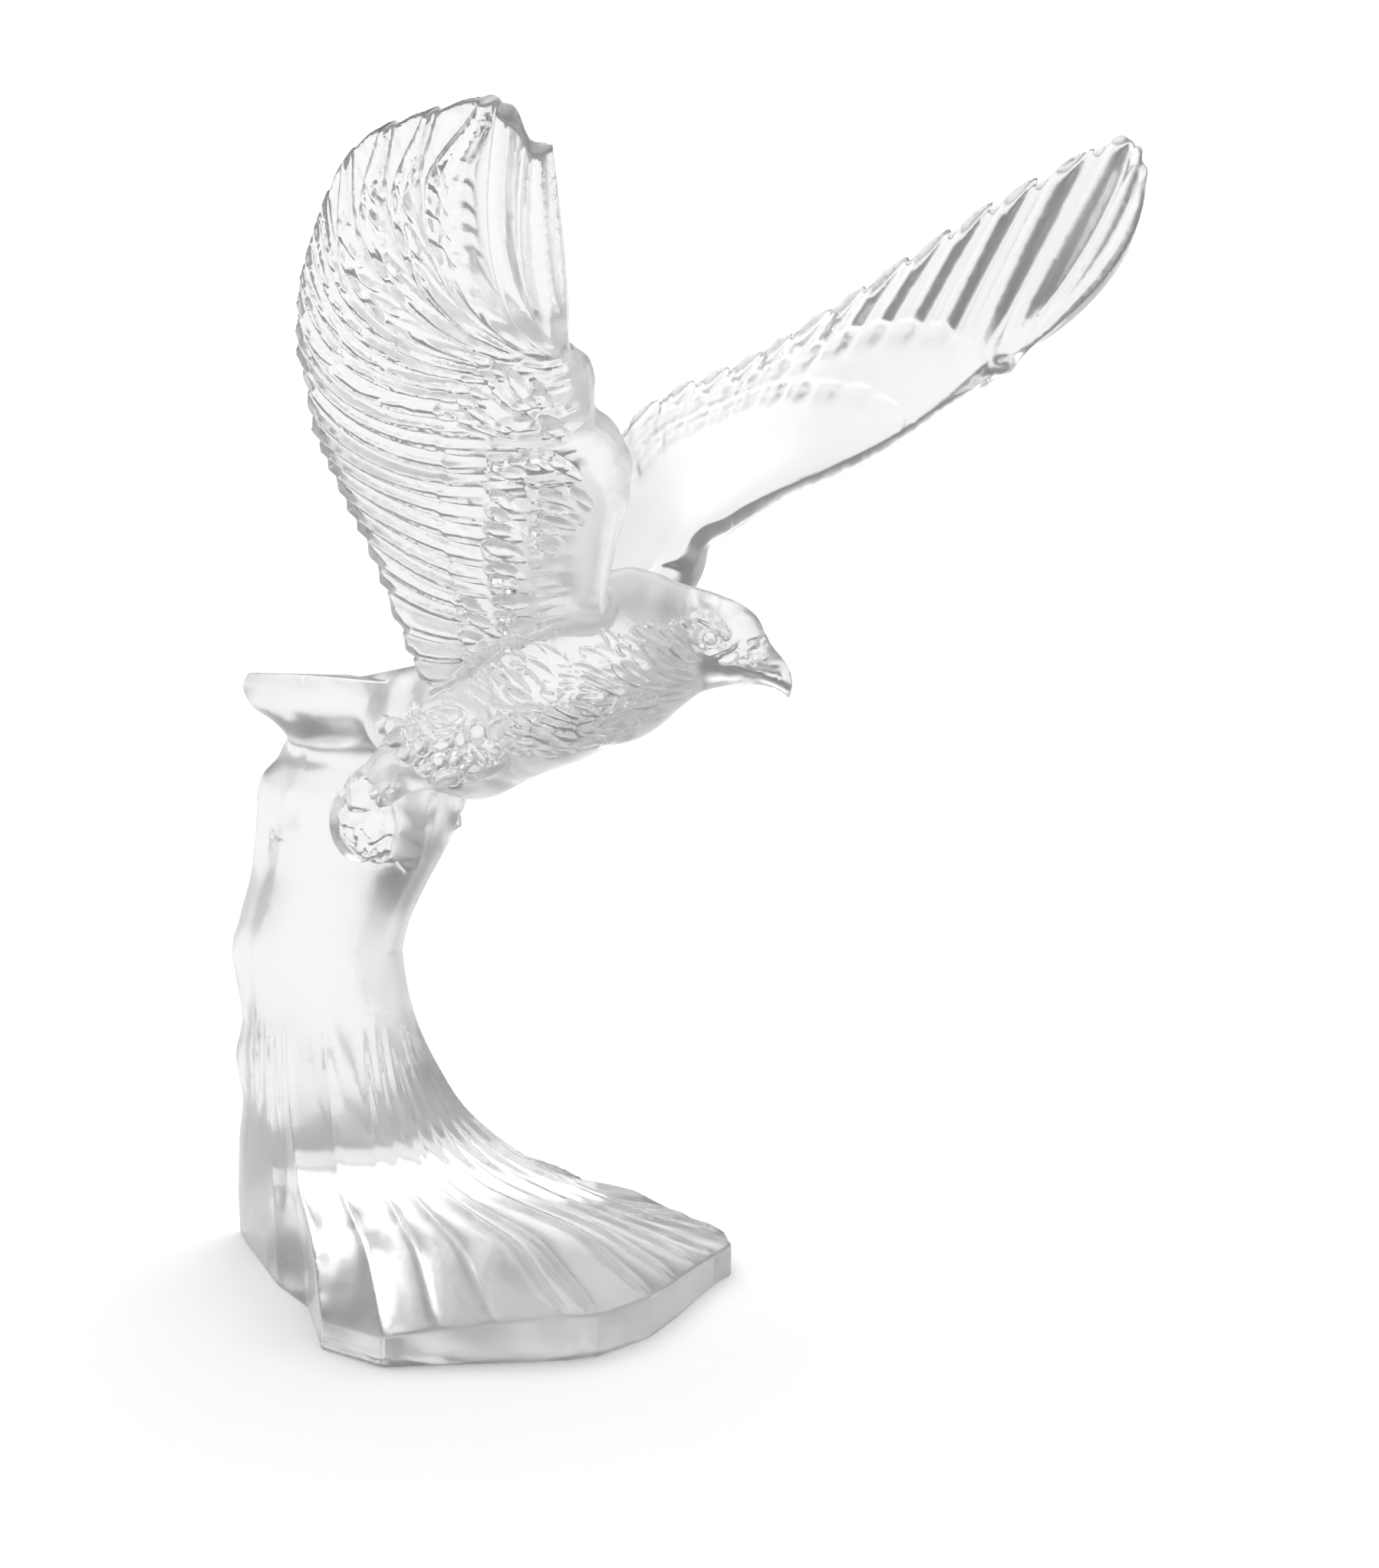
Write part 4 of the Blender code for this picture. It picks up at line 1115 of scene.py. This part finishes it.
def carve_feathers(skin, settings):
    """The small overlapping feathers, from tail to head so that each lies over the one behind it."""
    lift = settings.leaf_lift / MM
    for centre, size in THIGH_SCALES:
        skin.scale(centre, size, lift)
    random = np.random.default_rng(PLUME_SEED)
    for first, last, number, first_run, last_run, width in PLUME_ROWS:
        shift = random.uniform(-PLUME_SHIFT, PLUME_SHIFT, number)
        for share in (np.arange(number) + shift) / (number - 1):
            scatter = random.uniform(-PLUME_SCATTER, PLUME_SCATTER, 2)
            base = np.array(first) * (1 - share) + np.array(last) * share + scatter
            run = np.array(first_run) * (1 - share) + np.array(last_run) * share
            skin.leaf(base, base + run * random.uniform(*PLUME_STRETCH), width, PLUME_LIFT * lift)
    for leaves in (THIGH_LEAVES, BREAST_LEAVES, NECK_LEAVES):
        for base, tip, width in leaves:
            skin.leaf(base, tip, width, lift)
    for path in THIGH_LIPS:
        skin.lip(path, THIGH_LIP[0] * lift, THIGH_LIP[1], both=True)
    for path in THIGH_GROOVES:
        skin.groove(path, THIGH_GROOVE[1], THIGH_GROOVE[0] * lift, both=True)
    for base, tip, width in WING_LEAVES:
        skin.leaf(base, tip, width, WING_LEAF_LIFT * lift, both=False)
    for path in WING_HOLES:
        skin.groove(path, WING_HOLE[1], WING_HOLE[0] * lift)


def carve_feet(skin, settings):
    """Pads, folds and creases of the clenched feet, on both sides."""
    lift = settings.leaf_lift / MM
    for centre, radius, height in FOOT_PADS:
        skin.dome(centre, radius, height * lift, both=True)
    for path in FOOT_LIPS:
        skin.lip(path, FOOT_LIP[0] * lift, FOOT_LIP[1], both=True)
    for path in FOOT_GROOVES:
        skin.groove(path, FOOT_GROOVE[1], FOOT_GROOVE[0] * lift, both=True)


def carve_rock(skin):
    """Two round hollows and the broken lips beside the foot."""
    for centre, radius in SCOOPS:
        skin.scoop(centre, radius)
    for path in ROCK_LIPS:
        skin.lip(path, *ROCK_LIP)


# The heart of the etched part, to the bird's left, so that the near wing's tips are the most polished
SATIN_HEART = (60.0, 140.0, 200.0)


def cast_crystal(settings):
    """Cast lead crystal, etched with acid. Body and head have a satin skin that scatters the light softly and
    glows. Towards the feather tips and the foot of the rock the polish comes back, with its dark edges and
    bright streaks."""
    material = bpy.data.materials.new("acid_satined_lead_crystal")
    material.use_nodes = True
    tree = material.node_tree
    shader = tree.nodes["Principled BSDF"]
    shader.inputs["Base Color"].default_value = srgb(settings.tint)
    shader.inputs["IOR"].default_value = settings.ior
    shader.inputs["Transmission Weight"].default_value = settings.transmission
    place = add_node(tree, "ShaderNodeTexCoord")
    # The grain of the etching, a few hundredths of a millimetre wide, is drawn coarser so that it shows
    frost = add_node(tree, "ShaderNodeTexNoise", {"Scale": 1 / settings.frost_grain, "Detail": 2.0},
                     {"Vector": (place, "Object")})
    reach = add_node(tree, "ShaderNodeVectorMath", {"operation": "DISTANCE"}, {"Vector": (place, "Object")})
    reach.inputs[1].default_value = Vector(SATIN_HEART) * MM
    dull = add_node(tree, "ShaderNodeMapRange",
                    {"From Min": settings.satin_reach, "From Max": settings.polish_reach,
                     "To Min": settings.roughness, "To Max": settings.polish}, {"Value": (reach, "Value")})
    tree.links.new(dull.outputs["Result"], shader.inputs["Roughness"])
    grain = add_node(tree, "ShaderNodeBump", {"Strength": settings.frost_depth, "Distance": 0.05 * MM},
                     {"Height": (frost, "Fac")})
    tree.links.new(grain.outputs["Normal"], shader.inputs["Normal"])
    return material


# Soft boxes, so far off that they light the whole stage alike, one high behind the cast and one low in front:
# turn from the camera, rise, how wide it is at full strength, where it has faded out, strength
SOFT_BOXES = ((180, 70, 10, 56, 2.7), (0, 6, 15, 60, 1.3))


def hang_soft_boxes(settings):
    """A dim room with its soft boxes, as the light of the world."""
    world = bpy.data.worlds.new("studio")
    world.use_nodes = True
    tree = world.node_tree
    back = tree.nodes["Background"]
    back.inputs["Color"].default_value = srgb(settings.world_tint)
    place = add_node(tree, "ShaderNodeTexCoord")
    total = add_node(tree, "ShaderNodeValue")
    total.outputs[0].default_value = settings.room
    for turn, rise, full, faded, strength in SOFT_BOXES:
        facing = add_node(tree, "ShaderNodeVectorMath", {"operation": "DOT_PRODUCT"})
        facing.inputs[1].default_value = direction(settings.azimuth + math.radians(turn), math.radians(rise))
        tree.links.new(place.outputs["Generated"], facing.inputs[0])
        box = add_node(tree, "ShaderNodeMapRange",
                       {"interpolation_type": "SMOOTHSTEP", "From Min": math.cos(math.radians(faded)),
                        "From Max": math.cos(math.radians(full)), "To Max": strength * settings.boxes},
                       {"Value": (facing, "Value")})
        lit = add_node(tree, "ShaderNodeMath", {"operation": "ADD"})
        tree.links.new(total.outputs[0], lit.inputs[0])
        tree.links.new(box.outputs["Result"], lit.inputs[1])
        total = lit
    tree.links.new(total.outputs[0], back.inputs["Strength"])
    return world


# The most rings that one cut of the bar can make
MOST_RINGS = 100


class EagleForm(bpy.types.PropertyGroup):
    """Sizes of the rock, the body and the legs."""
    rock_rings: count("Rock rings", "Rings of faces from rim to tail, each cut in four", 65, MOST_RINGS)
    flute_depth: length("Flute depth", "Hollow between two ridges of the rock", 1.9)
    rib_height: length("Rib height", "Fine rib along a ridge", 1.5)
    rib_width: length("Rib width", "Half the width of that rib", 1.1)
    body_sides: count("Body sides", "Columns of faces round the body", 96)
    body_rings: count("Body rings", "Rings of faces from rump to beak, each cut in three", 72, MOST_RINGS)
    toe_radius: length("Toe radius", "A toe where it leaves the foot", 2.4)


class EagleWings(bpy.types.PropertyGroup):
    """Sizes of the wings and their feathers."""
    columns: count("Feather columns", "Columns of faces on one flight feather of the near wing", 16)
    wing_rows: count("Wing rows", "Rows of faces from the bone to the tips", 170)
    feather_depth: length("Feather depth", "Hollow beside a flight feather's crest", 1.8)
    slash_depth: length("Slash depth", "Slanting cuts in a feather's vane", 2.4)
    slash_slant: factor("Slash slant", "How far inwards a cut runs on its way across one feather", 0.3)
    rake: factor("Rake", "How far the feathers slope down to the bone, as a share of the wing", 0.125)
    hidden_relief: factor("Hidden relief", "Share of the feathers' relief on the faces turned away", 0.3)
    covert_step: length("Covert step", "Step where a row of covering feathers ends", 1.3)
    covert_depth: length("Covert depth", "Hollow between covering feathers", 1.5)
    covert_lobe: factor("Covert lobe", "Round ends of the covering feathers, as a share of the wing", 0.045)
    arm_swell: length("Arm swell", "How much thicker a wing is along its bone", 9.0)
    tip_thickness: length("Tip thickness", "Wing at the feather tips", 4.0)
    wing_thinning: length("Wing thinning", "How much thicker a wing is halfway in", 2.0)
    least_half: length("Thinnest half", "Least half thickness of a wing", 0.8)


class EagleSkin(bpy.types.PropertyGroup):
    """How the cast is fused and carved."""
    voxel: length("Skin pitch", "Pitch of the fused skin", 0.6)
    fillet_steps: count("Fillet steps", "Smoothing steps at the joints", 14)
    soften_steps: count("Soften steps", "Smoothing steps all over", 2)
    rock_steps: count("Rock steps", "More smoothing steps on the rock", 12)
    leaf_lift: length("Small feather lift", "How proud the small feathers stand", 1.05)
    triangles: count("Triangles", "Triangles of the finished cast", 196000)


class EagleCrystal(bpy.types.PropertyGroup):
    """Finish of the crystal."""
    tint: bpy.props.StringProperty(
        name="Tint", description="Colour of the crystal as an sRGB hex code", default="#F8F8F8")
    ior: bpy.props.FloatProperty(name="IOR", description="Refraction of lead crystal", default=1.545)
    transmission: factor("Transmission", "Share of the light that goes through", 0.88)
    roughness: factor("Roughness", "Scatter of the etched skin", 0.24)
    frost_grain: length("Frost grain", "Grain of the etching, drawn coarser than it is so that it shows", 0.5)
    polish: factor("Polish", "Scatter of the polished skin", 0.06)
    satin_reach: length("Satin reach", "How far from the satin's heart the skin is fully etched", 232.0)
    polish_reach: length("Polish reach", "How far from the satin's heart the skin is fully polished", 335.0)
    frost_depth: factor("Frost depth", "Strength of the grain", 0.25)


class EagleStudio(bpy.types.PropertyGroup):
    """Floor, light and camera."""
    floor_tint: bpy.props.StringProperty(
        name="Floor tint", description="Colour of the floor as an sRGB hex code", default="#F8F8F8")
    floor_radius: length("Floor radius", "So wide that its edge is out of the picture", 60000)
    paper_roughness: factor("Paper roughness", "Scatter of the floor", 0.95)
    world_tint: bpy.props.StringProperty(
        name="World tint", description="Colour of the light all round as an sRGB hex code", default="#FFFFFF")
    room: bpy.props.FloatProperty(name="Room", description="Light of the dim room", default=0.045)
    boxes: bpy.props.FloatProperty(name="Soft boxes", description="Strength of all soft boxes", default=1.0)
    distance: length("Distance", "From camera to target", CAMERA_DISTANCE)
    azimuth: bpy.props.FloatProperty(
        name="Azimuth", description="Camera's turn to the bird's front", default=CAMERA_TURN, subtype="ANGLE")
    elevation: bpy.props.FloatProperty(
        name="Elevation", description="Camera's rise", default=CAMERA_RISE, subtype="ANGLE")
    lens: bpy.props.FloatProperty(
        name="Lens", description="Focal length in millimetres", default=CAMERA_LENS, unit="CAMERA")


class EAGLE_OT_rock(bpy.types.Operator):
    """Shape the rock with the tail on top"""
    bl_idname = "eagle.rock"
    bl_label = "Shape the Rock"

    def execute(self, context):
        shape_rock(context.scene.eagle_form)
        return {"FINISHED"}


class EAGLE_OT_body(bpy.types.Operator):
    """Shape body, neck and head"""
    bl_idname = "eagle.body"
    bl_label = "Shape the Body"

    def execute(self, context):
        shape_body(context.scene.eagle_form)
        return {"FINISHED"}


class EAGLE_OT_wings(bpy.types.Operator):
    """Shape both wings with their flight and covering feathers"""
    bl_idname = "eagle.wings"
    bl_label = "Shape the Wings"

    def execute(self, context):
        settings = context.scene.eagle_wings
        shape_wing("near_wing", NEAR_WING, NEAR_EDGES, NEAR_COVERTS, near_points, near_notch,
                   columns=settings.columns, seed=7, bold=1.0, settings=settings)
        shape_wing("far_wing", FAR_WING, FAR_EDGES, FAR_COVERTS, far_points, far_notch,
                   columns=settings.columns + 4, seed=11, bold=0.4, settings=settings)
        return {"FINISHED"}


class EAGLE_OT_legs(bpy.types.Operator):
    """Shape both legs and feet"""
    bl_idname = "eagle.legs"
    bl_label = "Shape the Legs"

    def execute(self, context):
        shape_legs(context.scene.eagle_form)
        return {"FINISHED"}


class EAGLE_OT_cast(bpy.types.Operator):
    """Fuse rock, body, wings and legs into one cast, carve it and give it its crystal"""
    bl_idname = "eagle.cast"
    bl_label = "Cast and Carve"

    def execute(self, context):
        settings = context.scene.eagle_skin
        shapes = ("rock", "body", "near_wing", "far_wing", "leg", "foot", "toe")
        pieces = [item for item in context.scene.objects if item.name.split(".")[0] in shapes]
        if not pieces:
            raise RuntimeError("shape rock, body, wings and legs first")
        eagle = fuse(pieces, settings)
        skin = Skin(eagle)
        carve_rock(skin)
        carve_feathers(skin, settings)
        carve_feet(skin, settings)
        carve_head(skin)
        skin.finish()
        sides = np.empty(len(eagle.data.polygons), int)
        eagle.data.polygons.foreach_get("loop_total", sides)
        ratio = settings.triangles / int((sides - 2).sum())
        apply_modifier(eagle, "thin", "DECIMATE", {"ratio": min(1.0, ratio)})
        clean(eagle)
        bpy.ops.object.shade_smooth()
        eagle.data.materials.clear()
        eagle.data.materials.append(cast_crystal(context.scene.eagle_crystal))
        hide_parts("eagle_sculpture")
        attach(eagle, "root")
        return {"FINISHED"}


class EAGLE_OT_studio(bpy.types.Operator):
    """Lay the floor, hang the soft boxes and set the camera"""
    bl_idname = "eagle.studio"
    bl_label = "Build the Studio"

    def execute(self, context):
        settings = context.scene.eagle_studio
        bpy.ops.object.select_all(action="DESELECT")
        bpy.ops.mesh.primitive_circle_add(vertices=96, radius=settings.floor_radius, fill_type="NGON")
        floor = context.object
        floor.name = "floor"
        paper = bpy.data.materials.new("matte_white_paper")
        paper.use_nodes = True
        shader = paper.node_tree.nodes["Principled BSDF"]
        shader.inputs["Base Color"].default_value = srgb(settings.floor_tint)
        shader.inputs["Roughness"].default_value = settings.paper_roughness
        floor.data.materials.append(paper)
        context.scene.world = hang_soft_boxes(settings)
        context.scene.view_settings.view_transform = "Standard"
        data = bpy.data.cameras.new("camera")
        data.lens = settings.lens
        data.clip_end = CAMERA_SIGHT
        camera = bpy.data.objects.new("camera", data)
        back = Vector(direction(settings.azimuth, settings.elevation))
        camera.location = Vector(CAMERA_TARGET) * MM + back * settings.distance
        camera.rotation_euler = (-back).to_track_quat("-Z", "Y").to_euler()
        context.scene.collection.objects.link(camera)
        context.scene.camera = camera
        return {"FINISHED"}


class EAGLE_PT_panel(bpy.types.Panel):
    """Lists the steps that make the eagle"""
    bl_idname = "EAGLE_PT_panel"
    bl_label = "Crystal Eagle"
    bl_space_type = "VIEW_3D"
    bl_region_type = "UI"
    bl_category = "Eagle"

    def draw(self, context):
        for step in STEPS:
            self.layout.operator(step.bl_idname)


GROUPS = {"eagle_form": EagleForm, "eagle_wings": EagleWings, "eagle_skin": EagleSkin,
          "eagle_crystal": EagleCrystal, "eagle_studio": EagleStudio}
STEPS = (EAGLE_OT_rock, EAGLE_OT_body, EAGLE_OT_wings, EAGLE_OT_legs, EAGLE_OT_cast, EAGLE_OT_studio)
CLASSES = tuple(GROUPS.values()) + STEPS + (EAGLE_PT_panel,)


def register():
    for item in CLASSES:
        bpy.utils.register_class(item)
    for name, group in GROUPS.items():
        setattr(bpy.types.Scene, name, bpy.props.PointerProperty(type=group))


def unregister():
    for name in GROUPS:
        delattr(bpy.types.Scene, name)
    for item in reversed(CLASSES):
        bpy.utils.unregister_class(item)


def main():
    register()
    bpy.ops.eagle.rock()
    bpy.ops.eagle.body()
    bpy.ops.eagle.wings()
    bpy.ops.eagle.legs()
    bpy.ops.eagle.cast()
    bpy.ops.eagle.studio()


if __name__ == "__main__":
    main()
